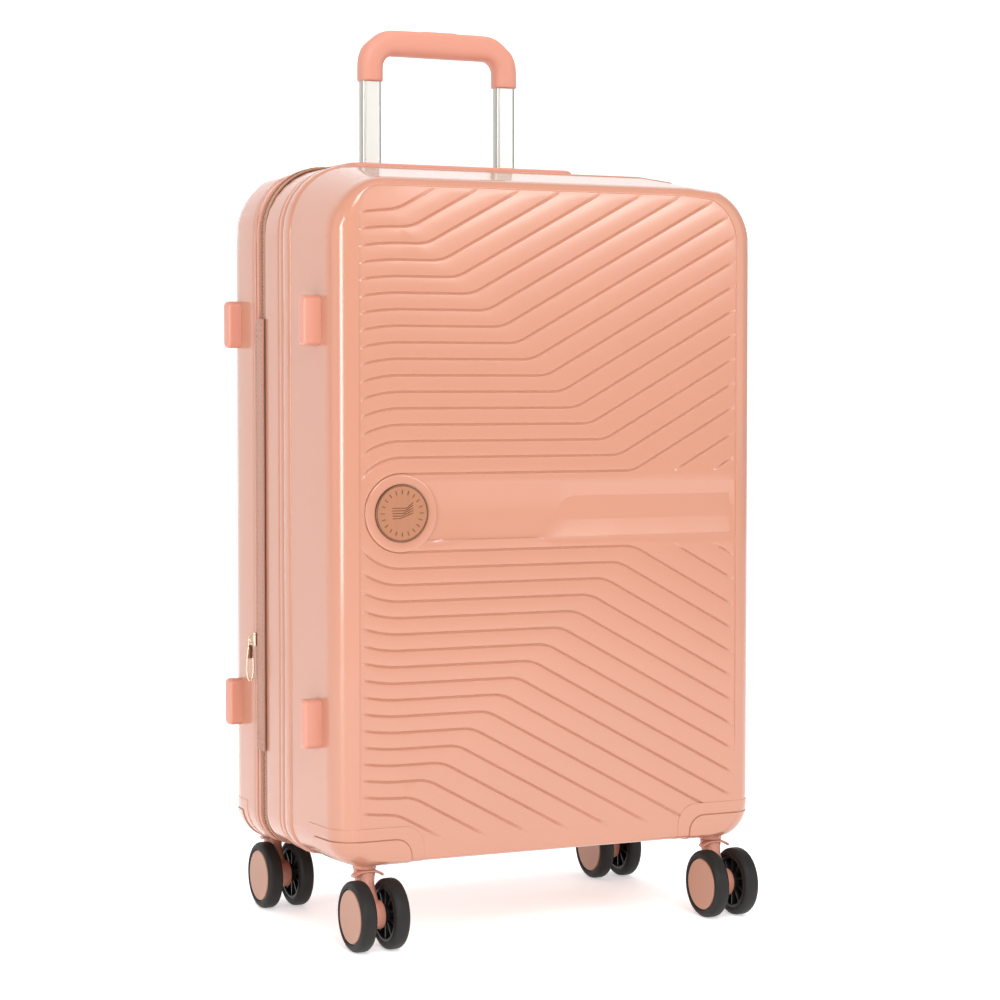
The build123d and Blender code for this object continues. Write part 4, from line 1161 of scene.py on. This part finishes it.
class SUITCASE_OT_grip(bpy.types.Operator):
    """Arched grip of the telescopic handle with its finger wave, and the button in its top"""
    bl_idname = "suitcase.grip"
    bl_label = "Grip"

    def execute(self, context):
        low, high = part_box("grip")
        y = (low.y + high.y) / 2
        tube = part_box("grip_tubes")
        tube_x = tube[1].x - 9.7 * MM
        bend = 22 * MM
        corner_x, corner_z = tube_x - bend, high.z - 11.4 * MM - bend
        frames = []
        path = [Vector((-tube_x, y, low.z + (corner_z - low.z) * part)) for part in (0, 0.04, 0.5, 1)]
        for step in range(1, 9):
            angle = math.radians(90 * step / 8)
            path.append(Vector((-corner_x - bend * math.cos(angle), y, corner_z + bend * math.sin(angle))))
        path += [Vector((-corner_x + 2 * corner_x * step / 12, y, corner_z + bend)) for step in range(1, 12)]
        for step in range(8, -1, -1):
            angle = math.radians(90 * step / 8)
            path.append(Vector((corner_x + bend * math.cos(angle), y, corner_z + bend * math.sin(angle))))
        path += [Vector((tube_x, y, low.z + (corner_z - low.z) * part)) for part in (0.5, 0.04, 0)]
        for index, point in enumerate(path):
            before, after = path[max(index - 1, 0)], path[min(index + 1, len(path) - 1)]
            along = (after - before).normalized()
            out = Vector((0, -1, 0)).cross(along).normalized()
            frames.append((point, Vector((0, 1, 0)), -out))

        def outline(part):
            across = abs(2 * part - 1)
            leg = min(max((across - 0.62) / 0.2, 0), 1)
            wave = math.cos(math.pi * (2 * part - 1) * 1.25) if across < 0.6 else 0
            thick = 24.5 * MM + 2.6 * MM * wave * (across < 0.6) - 1.5 * MM * leg
            shape = oval(20 * MM, thick, 24, 2.9)
            shift = -thick / 2 + 12.2 * MM if across < 0.6 else 0
            return [(a, b + shift * 0.9) for a, b in shape]

        bm = bmesh.new()
        sweep(bm, frames, outline)
        for vert in bm.verts:
            vert.co.z = min(max(vert.co.z, low.z), high.z)
            vert.co.x = min(max(vert.co.x, low.x), high.x)
        thing = piece(bm, "grip_moulding", "grip_stage", material("soft trim"), ["grip"],
                      sharp=60,
                      weighted=False)
        soft = thing.modifiers.new("smooth", "SUBSURF")
        soft.levels = soft.render_levels = 1
        low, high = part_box("grip_button")
        bm = bmesh.new()
        box(bm, (low.x, low.y, high.z - 5 * MM), (high.x, high.y, high.z + 0.8 * MM), bevel=1.4 * MM,
            segments=4)
        piece(bm, "grip_button_cap", "grip_key", material("trim"), ["grip_button"],
              sharp=60)
        return {"FINISHED"}


class SUITCASE_OT_tubes(bpy.types.Operator):
    """Finishes of the tubes, pins and other pieces whose shape the frame already has"""
    bl_idname = "suitcase.tubes"
    bl_label = "Tubes and pins"

    def execute(self, context):
        for node in ("middle_tubes", "grip_tubes", "trolley_guide_tubes"):
            dress(node, "aluminium")
        for node in ("front_kingpins", "back_kingpins"):
            dress(node, "steel")
        for node in ("trolley_foot_bracket", "lock_housing"):
            dress(node, "dark plastic" if node.startswith("trolley") else "trim")
        for node in ("front_side_feet", "back_side_feet", "lock_release"):
            dress(node, "trim")
        for corner in (f"{end}_{side}" for end in ENDS for side in SIDES):
            dress(f"{corner}_axle", "steel")
        dress("zip_pullers", "gold")
        return {"FINISHED"}


# ---------------------------------------------------------------- badge

class SUITCASE_OT_badge(bpy.types.Operator):
    """Round badge with a dark rim and a plain line motif, on its seat in the front face"""
    bl_idname = "suitcase.badge"
    bl_label = "Badge"

    def execute(self, context):
        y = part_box("badge")[0].y
        centre = Vector((BADGE_X, y, BADGE_Z))
        out = (0, -1, 0)
        panel = y - FRONT - context.scene.suitcase_shells.panel_drop
        bm = bmesh.new()
        seat = ((panel - 1 * MM, 24.5 * MM), (panel + 0.1 * MM, 24.5 * MM), (panel + 0.5 * MM, 25 * MM),
                (panel + 0.5 * MM, 31 * MM), (panel + 0.3 * MM, 32.2 * MM), (panel - 0.1 * MM, 32.9 * MM),
                (panel - 1 * MM, 33.2 * MM), (panel - 1 * MM, 24.5 * MM))
        turned(bm, seat, centre, out, 96)
        piece(bm, "badge_seat", "lid", material("shell"), sharp=50)
        bm = bmesh.new()
        rim = ((-2.2 * MM, 22.6 * MM), (-0.5 * MM, 22.6 * MM), (-0.1 * MM, 22.8 * MM), (0, 23.2 * MM),
               (-0.1 * MM, 23.9 * MM), (-0.6 * MM, 24.3 * MM), (-2.2 * MM, 24.3 * MM), (-2.2 * MM, 22.6 * MM))
        turned(bm, rim, centre, out, 96)
        piece(bm, "badge_rim", "lid", material("bronze"))
        bm = bmesh.new()
        disc = [(-2.2 * MM, 0), (-2.2 * MM, 22.65 * MM), (-0.5 * MM, 22.65 * MM)]
        disc += [(-(0.5 + 0.06 * (step % 2)) * MM, (22.2 - 0.4 * step) * MM) for step in range(52)]
        disc.append((-0.5 * MM, 0))
        turned(bm, disc, centre, out, 72)
        piece(bm, "badge_disc", "lid", material("rose gold"), ["badge"], sharp=60)
        bm = bmesh.new()
        for index in range(5):
            rise = (4.4 - 2.2 * index) * MM
            bend = (3.5 - 1.6 * index) * MM
            line = [(-9 * MM, rise), (bend, rise), (bend + 1 * MM, rise + 0.15 * MM),
                    (10 * MM, rise + 4.6 * MM)]
            frames = []
            for number, (x, z) in enumerate(line):
                before, after = line[max(number - 1, 0)], line[min(number + 1, 3)]
                along = Vector((after[0] - before[0], 0, after[1] - before[1])).normalized()
                frames.append((centre + Vector((x, 0.45 * MM, z)), Vector(out).cross(along), Vector(out)))
            sweep(bm, frames, oval(0.7 * MM, 0.7 * MM, 8))
        for index in range(20):
            angle = math.radians(18 * index)
            low, high = (-0.35 * MM, 0.1 * MM, 16.2 * MM), (0.35 * MM, 0.8 * MM, 19.6 * MM)
            box(bm, low, high, turn=Matrix.Translation(centre) @ Matrix.Rotation(angle, 4, "Y"))
        piece(bm, "badge_motif", "lid", material("bronze"))
        return {"FINISHED"}


# ---------------------------------------------------------------- casters

def tyre(name, centre, body, replaced):
    """A tyre with a flat tread, round shoulders and a shallow line round each side."""
    bm = bmesh.new()
    half = ((0, 30), (2.6, 30), (4.4, 29.6), (5.8, 28.6), (6.6, 27.2), (7, 25.6), (6.6, 25.2), (6.8, 24.4),
            (6.4, 23.6), (5, 23.3))
    profile = [(-along * MM, radius * MM) for along, radius in reversed(half[1:])]
    profile += [(along * MM, radius * MM) for along, radius in half]
    turned(bm, profile + [profile[0]], centre, (1, 0, 0), 72)
    return piece(bm, name, body, material("tyre"), [replaced], sharp=40)


def hub(name, centre, facing, body, replaced):
    """A dark spoked hub with a pale cap on its outer side."""
    out = Vector((facing, 0, 0))
    bm = bmesh.new()
    profile = ((-6, 21.2), (-6, 23.28), (5.2, 23.28), (5.2, 3.2), (-8, 3.2), (-8, 7.4), (-7.4, 8), (0.5, 8),
               (0.5, 20.4), (-6, 21.2))
    turned(bm, [(along * MM, radius * MM) for along, radius in profile], centre, out, 72)
    for index in range(10):
        turn = Matrix.Translation(centre) @ Matrix.Rotation(math.radians(36 * index), 4, "X")
        reach = sorted((-4.6 * MM * facing, 1 * MM * facing))
        box(bm, (reach[0], -0.8 * MM, 7.6 * MM), (reach[1], 0.8 * MM, 20.8 * MM), turn=turn)
    piece(bm, name + "_spokes", body, material("dark plastic"), [replaced])
    bm = bmesh.new()
    cap = ((5.5, 0), (5.5, 22.6), (6.3, 22.6), (6.8, 22.2), (7, 21.6), (6.9, 20.9), (6.9, 14), (6.95, 0))
    turned(bm, [(along * MM, radius * MM) for along, radius in cap], centre, out, 72)
    piece(bm, name + "_cap", body, material("cap"))


def swivel_fork(name, x, y, body, replaced):
    """A swivel fork: round stem, curved arm, axle boss, and a narrow guard above the wheels."""
    bm = bmesh.new()
    side = Vector((1, 0, 0))
    line = ((0, 65.8, 18, 18), (0, 62, 17.6, 17.6), (-0.6, 57, 15.5, 18), (-3, 51, 13.4, 18.5),
            (-8, 44.5, 12.6, 17.5),
            (-13.5, 38, 12.6, 16.5), (-18, 32.5, 12.6, 15.5), (-20, 30, 12.4, 14))
    frames = []
    sizes = []
    for number, (back, z, wide, deep) in enumerate(line):
        before, after = line[max(number - 1, 0)], line[min(number + 1, len(line) - 1)]
        along = Vector((0, after[0] - before[0], after[1] - before[1])).normalized()
        frames.append((Vector((x, y + back * MM, z * MM)), side, along.cross(side)))
        sizes.append(oval(wide * MM, deep * MM, 24, 2.4))
    sweep(bm, frames, lambda part: sizes[round(part * (len(sizes) - 1))])
    axle = Vector((x, y - 20 * MM, 30 * MM))
    boss = ((-6.5, 0), (-6.5, 11), (-6, 11.8), (-5.2, 12), (5.2, 12), (6, 11.8), (6.5, 11), (6.5, 0))
    turned(bm, [(along * MM, radius * MM) for along, radius in boss], axle, side, 48)
    guard = []
    for across in range(-7, 8):
        droop = 3.4 * MM * max(abs(across) - 2.5, 0) ** 1.5 / 9.5
        guard.append((Vector((x + across * 1.9 * MM, y - 6 * MM, 65 * MM - droop)), Vector((0, 1, 0)),
                      Vector((0, 0, 1))))
    sweep(bm, guard, oval(9 * MM, 2.6 * MM, 12, 3))
    return piece(bm, name, body, material("trim"), [replaced], sharp=50, weighted=False)


class SUITCASE_OT_casters(bpy.types.Operator):
    """Twin-wheel swivel casters: collar on the case, fork, tyres and hubs"""
    bl_idname = "suitcase.casters"
    bl_label = "Casters"

    def execute(self, context):
        for end_name, end in ENDS.items():
            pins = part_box(f"{end_name}_kingpins")
            y = (pins[0].y + pins[1].y) / 2
            for side_name, side in SIDES.items():
                name = f"{end_name}_{side_name}"
                x = side * (pins[1].x - 4 * MM)
                bm = bmesh.new()
                collar = ((66.3, 0), (66.3, 9.4), (66.7, 10), (69.5, 10.2), (71.5, 11.2), (73, 13), (80, 14),
                          (80, 0))
                turned(bm, [(z * MM, radius * MM) for z, radius in collar], Vector((x, y, 0)), (0, 0, 1), 48)
                piece(bm, name + "_collar", "lid" if end < 0 else "back_half",
                      material("trim"))
                swivel_fork(name + "_fork_moulding", x, y, name + "_caster", name + "_fork")
                for place, facing in (("outer", side), ("inner", -side)):
                    low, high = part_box(f"{name}_{place}_tyre")
                    body = f"{name}_{place}_wheel"
                    tyre(f"{name}_{place}_tread", (low + high) / 2, body, f"{name}_{place}_tyre")
                    hub(f"{name}_{place}", (low + high) / 2, facing, body, f"{name}_{place}_hub")
        return {"FINISHED"}


# ---------------------------------------------------------------- lock, slider and pull

class SUITCASE_OT_lock(bpy.types.Operator):
    """Combination lock: ribbed dials and a grip on the release"""
    bl_idname = "suitcase.lock"
    bl_label = "Lock"

    def execute(self, context):
        for number in (1, 2, 3):
            low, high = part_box(f"lock_dial_{number}")
            centre = (low + high) / 2
            bm = bmesh.new()
            wheel = ((-2, 0), (-2, 3.4), (-1.6, 3.7), (1.6, 3.7), (2, 3.4), (2, 0))
            turned(bm, [(along * MM, radius * MM) for along, radius in wheel], centre, (0, 0, 1), 40)
            for rib in range(20):
                turn = Matrix.Translation(centre) @ Matrix.Rotation(math.radians(18 * rib), 4, "Z")
                box(bm, (-0.2 * MM, 3.5 * MM, -1.8 * MM), (0.2 * MM, 3.98 * MM, 1.8 * MM), turn=turn)
            piece(bm, f"lock_dial_wheel_{number}", f"dial_{number}", material("dark plastic"),
                  [f"lock_dial_{number}"])
        low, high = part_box("lock_release")
        bm = bmesh.new()
        for rib in range(4):
            z = low.z + (2 + 2 * rib) * MM
            box(bm, (high.x - 0.2 * MM, low.y + 1.2 * MM, z - 0.35 * MM),
                (high.x + 0.4 * MM, high.y - 1.2 * MM,
                                                                          z + 0.35 * MM), bevel=0.15 * MM,
                                                                          segments=1)
        piece(bm, "lock_release_ribs", "release_key", material("trim"))
        return {"FINISHED"}


class SUITCASE_OT_expander_pull(bpy.types.Operator):
    """Slider of the expander zip and its gold wire pull with a dark tab"""
    bl_idname = "suitcase.expander_pull"
    bl_label = "Expander slider and pull"

    def execute(self, context):
        low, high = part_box("expander_pull")
        y = (low.y + high.y) / 2
        x = (low.x + high.x) / 2
        eye = high.z - 2.4 * MM
        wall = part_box("expander_zip")[0].x
        bm = bmesh.new()
        box(bm, (wall + 6 * MM, y - 1.95 * MM, eye - 6 * MM), (wall + 9 * MM, y + 1.95 * MM, eye + 6 * MM),
            0.9 * MM, 3)
        box(bm, (wall + 8.8 * MM, y - 0.8 * MM, eye - 4 * MM), (wall + 10.8 * MM, y + 0.8 * MM, eye + 4 * MM))
        arch = []
        for step in range(9):
            angle = math.radians(180 * step / 8)
            place = Vector((wall + 6.6 * MM - 5.6 * MM * math.sin(angle), y,
                            eye + 3.6 * MM * math.cos(angle)))
            out = Vector((-math.sin(angle), 0, math.cos(angle)))
            arch.append((place, Vector((0, 1, 0)), out))
        sweep(bm, arch, oval(1.6 * MM, 1.0 * MM, 10))
        piece(bm, "expander_slider", "back_half", material("gold"), sharp=50)
        length = eye - low.z
        bm = bmesh.new()
        verts = None
        first = None
        steps = 40
        for step in range(steps):
            angle = 2 * math.pi * step / steps
            grow = 0.5 - 0.5 * math.cos(angle)
            centre = Vector((x + 4.2 * MM * math.sin(angle) * (0.32 + 0.68 * grow), y,
                             eye + 1.3 * MM - (length - 1.4 * MM) * (0.5 - 0.5 * math.cos(angle)) - 0.7 * MM))
            ahead = angle + 0.01
            grow = 0.5 - 0.5 * math.cos(ahead)
            target = Vector((x + 4.2 * MM * math.sin(ahead) * (0.32 + 0.68 * grow), y,
                             eye + 1.3 * MM - (length - 1.4 * MM) * (0.5 - 0.5 * math.cos(ahead)) - 0.7 * MM))
            along = (target - centre).normalized()
            out = Vector((0, 1, 0)).cross(along)
            points = [centre + Vector((0, 1, 0)) * a + out * b for a, b in oval(1.5 * MM, 1.5 * MM, 10)]
            verts = chain(bm, points, closed=True) if verts is None else extend(bm, verts, points)
            first = first or verts
        edges = [bm.edges.get(pair) for ring in (first, verts) for pair in zip(ring, ring[1:] + ring[:1])]
        bmesh.ops.bridge_loops(bm, edges=edges)
        piece(bm, "expander_pull_wire", "zip_pull", material("gold"), ["expander_pull"],
              weighted=False)
        bm = bmesh.new()
        box(bm, (x - 1.9 * MM, y - 1.5 * MM, eye - 17 * MM), (x + 1.9 * MM, y + 1.5 * MM, eye - 5 * MM),
            0.9 * MM, 3)
        piece(bm, "expander_pull_tab", "zip_pull", material("bronze"))
        return {"FINISHED"}


# ---------------------------------------------------------------- inside

def quilt(bm, amount, scale):
    """Slack in a glued-in cloth: a slow uneven drift of its surface."""
    for vert in bm.verts:
        vert.co += noise.noise_vector(vert.co * scale) * amount


def covered_block(name, body, low, high, finish, soft=3 * MM, replaced=()):
    """A cloth-covered block with rounded edges."""
    bm = bmesh.new()
    box(bm, low, high, bevel=soft, segments=4)
    return piece(bm, name, body, material(finish), replaced, sharp=60)


class SUITCASE_OT_linings(bpy.types.Operator):
    """Cloth linings of both halves, the pocket in the lid, and the packing straps with their buckle"""
    bl_idname = "suitcase.linings"
    bl_label = "Linings and straps"

    def execute(self, context):
        self.back()
        self.lid()
        self.straps()
        return {"FINISHED"}

    def back(self):
        start, floor = BACK_START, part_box("back_lining")[1].y
        bm = bmesh.new()
        rows = [wall_section(start + (floor - start) * part, (5 + 7 * part) * MM)
                for part in (0.005, 0.25, 0.5, 0.75)]
        rows += [wall_section(floor - 12 * MM, 11.7 * MM), wall_section(floor - 5 * MM, 13.4 * MM),
                 wall_section(floor - 1.4 * MM, 17 * MM), wall_section(floor - 0.2 * MM, 24 * MM)]
        rows.append(wall_section(floor, 60 * MM))
        inner = [wall_section(floor - 1.2 * MM, 60 * MM), wall_section(floor - 1.5 * MM, 24 * MM),
                 wall_section(floor - 6 * MM, 14.8 * MM), wall_section(start + 0.2 * MM, 6.2 * MM)]
        loft(bm, rows[::-1] + inner[::-1], ring_spots(8, 12), caps=True)
        quilt(bm, 0.35 * MM, 22)
        piece(bm, "back_lining_cloth", "back_half", material("lining"), ["back_lining"],
              sharp=60)
        covered_block("bezel_cover", "back_half", (-110 * MM, MIDDLE + 78 * MM, HIGH - 34 * MM),
                   (110 * MM, floor + 3 * MM, HIGH - 7 * MM), "lining", 4 * MM)

    def lid(self):
        outside = [front_wall(153, 203.4, 71.6, 663.4, (56, 56, 27, 27)),
                   front_wall(93, 202.4, 72.4, 660.4, (53, 53, 27, 27)),
                   front_wall(24, 199.8, 74.4, 647.6, (47, 47, 27, 27)),
                   front_wall(8, 190, 80, 640, (36, 36, 26, 26)),
                   front_wall(5, 176, 92, 630, (26, 26, 20, 20)),
                   front_wall(4.4, 120, 150, 580, (10, 10, 10, 10))]
        inside = [front_wall(5.6, 120, 150, 580, (10, 10, 10, 10)),
                  front_wall(6, 175, 93, 629, (26, 26, 20, 20)),
                  front_wall(9.4, 188.6, 81.4, 638.6, (36, 36, 26, 26)),
                  front_wall(25, 198.6, 75.6, 646.4, (46, 46, 26, 26)),
                  front_wall(93, 201.2, 73.6, 659.2, (52, 52, 26, 26)),
                  front_wall(153, 202.2, 72.8, 662.2, (55, 55, 26, 26))]
        bm = bmesh.new()
        loft(bm, outside[::-1] + inside[::-1], ring_spots(8, 12), caps=True)
        quilt(bm, 0.3 * MM, 22)
        piece(bm, "lid_lining_cloth", "lid", material("lining"), ["front_lining"], sharp=60)
        low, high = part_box("lid_pocket")
        covered_block("lid_pocket_cloth", "lid", low, high, "panel cloth", 1.2 * MM,
                      ["lid_pocket"])
        y = high.y
        bm = bmesh.new()
        box(bm, (low.x + 6 * MM, y - 1 * MM, high.z - 16 * MM),
            (high.x - 6 * MM, y + 0.9 * MM, high.z - 4 * MM),
            0.4 * MM, 2)
        piece(bm, "lid_pocket_hem", "lid", material("webbing"), sharp=60)

    def straps(self):
        low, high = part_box("packing_straps")
        y = high.y
        centre = Vector((0, y, (low.z + high.z) / 2))
        bm = bmesh.new()
        for side in SIDES.values():
            for rise in (-1, 1):
                reach = Vector((side * 145, 0, rise * 200)).normalized()
                across = Vector((0, 1, 0)).cross(reach)
                frames = []
                for step in range(13):
                    part = step / 12
                    sag = 1.6 * MM * math.sin(math.pi * part)
                    place = centre + reach * (24 + 211 * part) * MM - Vector((0, 0.8 * MM + sag, 0))
                    frames.append((place, across, Vector((0, 1, 0))))
                sweep(bm, frames, oval(25 * MM, 1.5 * MM, 20, 8))
        piece(bm, "strap_webbing_pieces", "back_half", material("webbing"),
              ["packing_straps"])
        bm = bmesh.new()
        box(bm, (-28 * MM, y - 6 * MM, centre.z - 28 * MM), (28 * MM, y - 0.4 * MM, centre.z + 28 * MM),
            2 * MM, 4)
        box(bm, (-15 * MM, y - 7.2 * MM, centre.z - 9 * MM), (15 * MM, y - 5 * MM, centre.z + 9 * MM),
            0.8 * MM, 3)
        piece(bm, "strap_buckle", "back_half", material("dark plastic"), sharp=60)


# ---------------------------------------------------------------- stage

class SUITCASE_OT_stage(bpy.types.Operator):
    """Pale floor and backdrop, soft lights and the camera"""
    bl_idname = "suitcase.stage"
    bl_label = "Stage"

    def execute(self, context):
        scene = context.scene
        bm = bmesh.new()
        verts = chain(bm, [(-6, -6, 0), (6, -6, 0)])
        verts = extend(bm, verts, [(-6, 3.2, 0), (6, 3.2, 0)])
        for step in range(1, 9):
            angle = math.radians(90 * step / 8)
            y, z = 3.2 + 1.5 * math.sin(angle), 1.5 * (1 - math.cos(angle))
            verts = extend(bm, verts, [(-6, y, z), (6, y, z)])
        extend(bm, verts, [(-6, 4.7, 6), (6, 4.7, 6)])
        bmesh.ops.recalc_face_normals(bm, faces=bm.faces)
        for face in bm.faces:
            face.smooth = True
        mesh = bpy.data.meshes.new("studio_floor")
        bm.to_mesh(mesh)
        bm.free()
        floor = bpy.data.objects.new("studio_floor", mesh)
        scene.collection.objects.link(floor)
        floor_material, _, shader = start_material("studio paper", (0.93, 0.93, 0.94), 0.6)
        shader.inputs["Specular IOR Level"].default_value = 0.2
        shader.inputs["Emission Color"].default_value = (1, 1, 1, 1)
        shader.inputs["Emission Strength"].default_value = 0.45
        mesh.materials.append(floor_material)

        world = bpy.data.worlds.new("studio air")
        scene.world = world
        world.use_nodes = True
        world.node_tree.nodes["Background"].inputs["Color"].default_value = (1, 1, 1, 1)
        world.node_tree.nodes["Background"].inputs["Strength"].default_value = 0.45
        scene.view_settings.view_transform = "Standard"

        lights = (("key box", (-0.6, -2.6, 1.9), (1.2, 1.2), 44),
                  ("top box", (0.2, -0.3, 2.6), (2.4, 2.0), 40),
                  ("tall strip", (-2.2, -1.15, 0.62), (0.5, 1.0), 20),
                  ("left box", (-2.6, 0.2, 1.0), (1.2, 1.6), 4),
                  ("scoop box", (1.25, -2.15, 0.95), (0.9, 0.3), 8),
                  ("fill box", (2.4, -1.6, 1.2), (1.6, 1.8), 8))
        target = Vector((0, 0, 0.38))
        for name, place, size, power in lights:
            data = bpy.data.lights.new(name, "AREA")
            data.shape = "RECTANGLE"
            data.size, data.size_y = size
            data.energy = power
            light = bpy.data.objects.new(name, data)
            light.location = place
            light.visible_glossy = name != "top box"
            light.rotation_euler = (target - Vector(place)).to_track_quat("-Z", "Y").to_euler()
            scene.collection.objects.link(light)

        lens = bpy.data.cameras.new("camera")
        lens.lens = 96.0
        lens.sensor_width = 36.0
        camera = bpy.data.objects.new("camera", lens)
        camera.location = (-1.0548, -2.1609, 0.4743)
        camera.rotation_euler = Euler((math.radians(87.57), 0, math.radians(-26.09)), "XYZ")
        scene.collection.objects.link(camera)
        scene.camera = camera
        return {"FINISHED"}


class SUITCASE_PT_panel(bpy.types.Panel):
    """Sizes, colours and build steps of the suitcase"""
    bl_label = "Suitcase"
    bl_idname = "SUITCASE_PT_panel"
    bl_space_type = "VIEW_3D"
    bl_region_type = "UI"
    bl_category = "Suitcase"

    def draw(self, context):
        column = self.layout.column()
        for settings in (context.scene.suitcase_shells, context.scene.suitcase_bands,
                         context.scene.suitcase_finish):
            for label in settings.__annotations__:
                column.prop(settings, label)
        for operator in OPERATORS:
            column.operator(operator.bl_idname)


SETTINGS = {"suitcase_shells": SuitcaseShells, "suitcase_bands": SuitcaseBands,
            "suitcase_finish": SuitcaseFinish}
OPERATORS = (SUITCASE_OT_stage, SUITCASE_OT_front_shell, SUITCASE_OT_back_shell, SUITCASE_OT_fairings,
             SUITCASE_OT_bands, SUITCASE_OT_hinge_strip, SUITCASE_OT_bezel, SUITCASE_OT_carry_handles,
             SUITCASE_OT_grip, SUITCASE_OT_tubes, SUITCASE_OT_badge, SUITCASE_OT_casters, SUITCASE_OT_lock,
             SUITCASE_OT_expander_pull, SUITCASE_OT_linings)
CLASSES = (*SETTINGS.values(), *OPERATORS, SUITCASE_PT_panel)


def register():
    for item in CLASSES:
        bpy.utils.register_class(item)
    for name, settings in SETTINGS.items():
        setattr(bpy.types.Scene, name, bpy.props.PointerProperty(type=settings))


def unregister():
    for name in SETTINGS:
        delattr(bpy.types.Scene, name)
    for item in reversed(CLASSES):
        bpy.utils.unregister_class(item)


def main():
    register()
    for operator in OPERATORS:
        category, action = operator.bl_idname.split(".")
        getattr(getattr(bpy.ops, category), action)()
    bpy.context.view_layer.update()


if __name__ == "__main__":
    main()
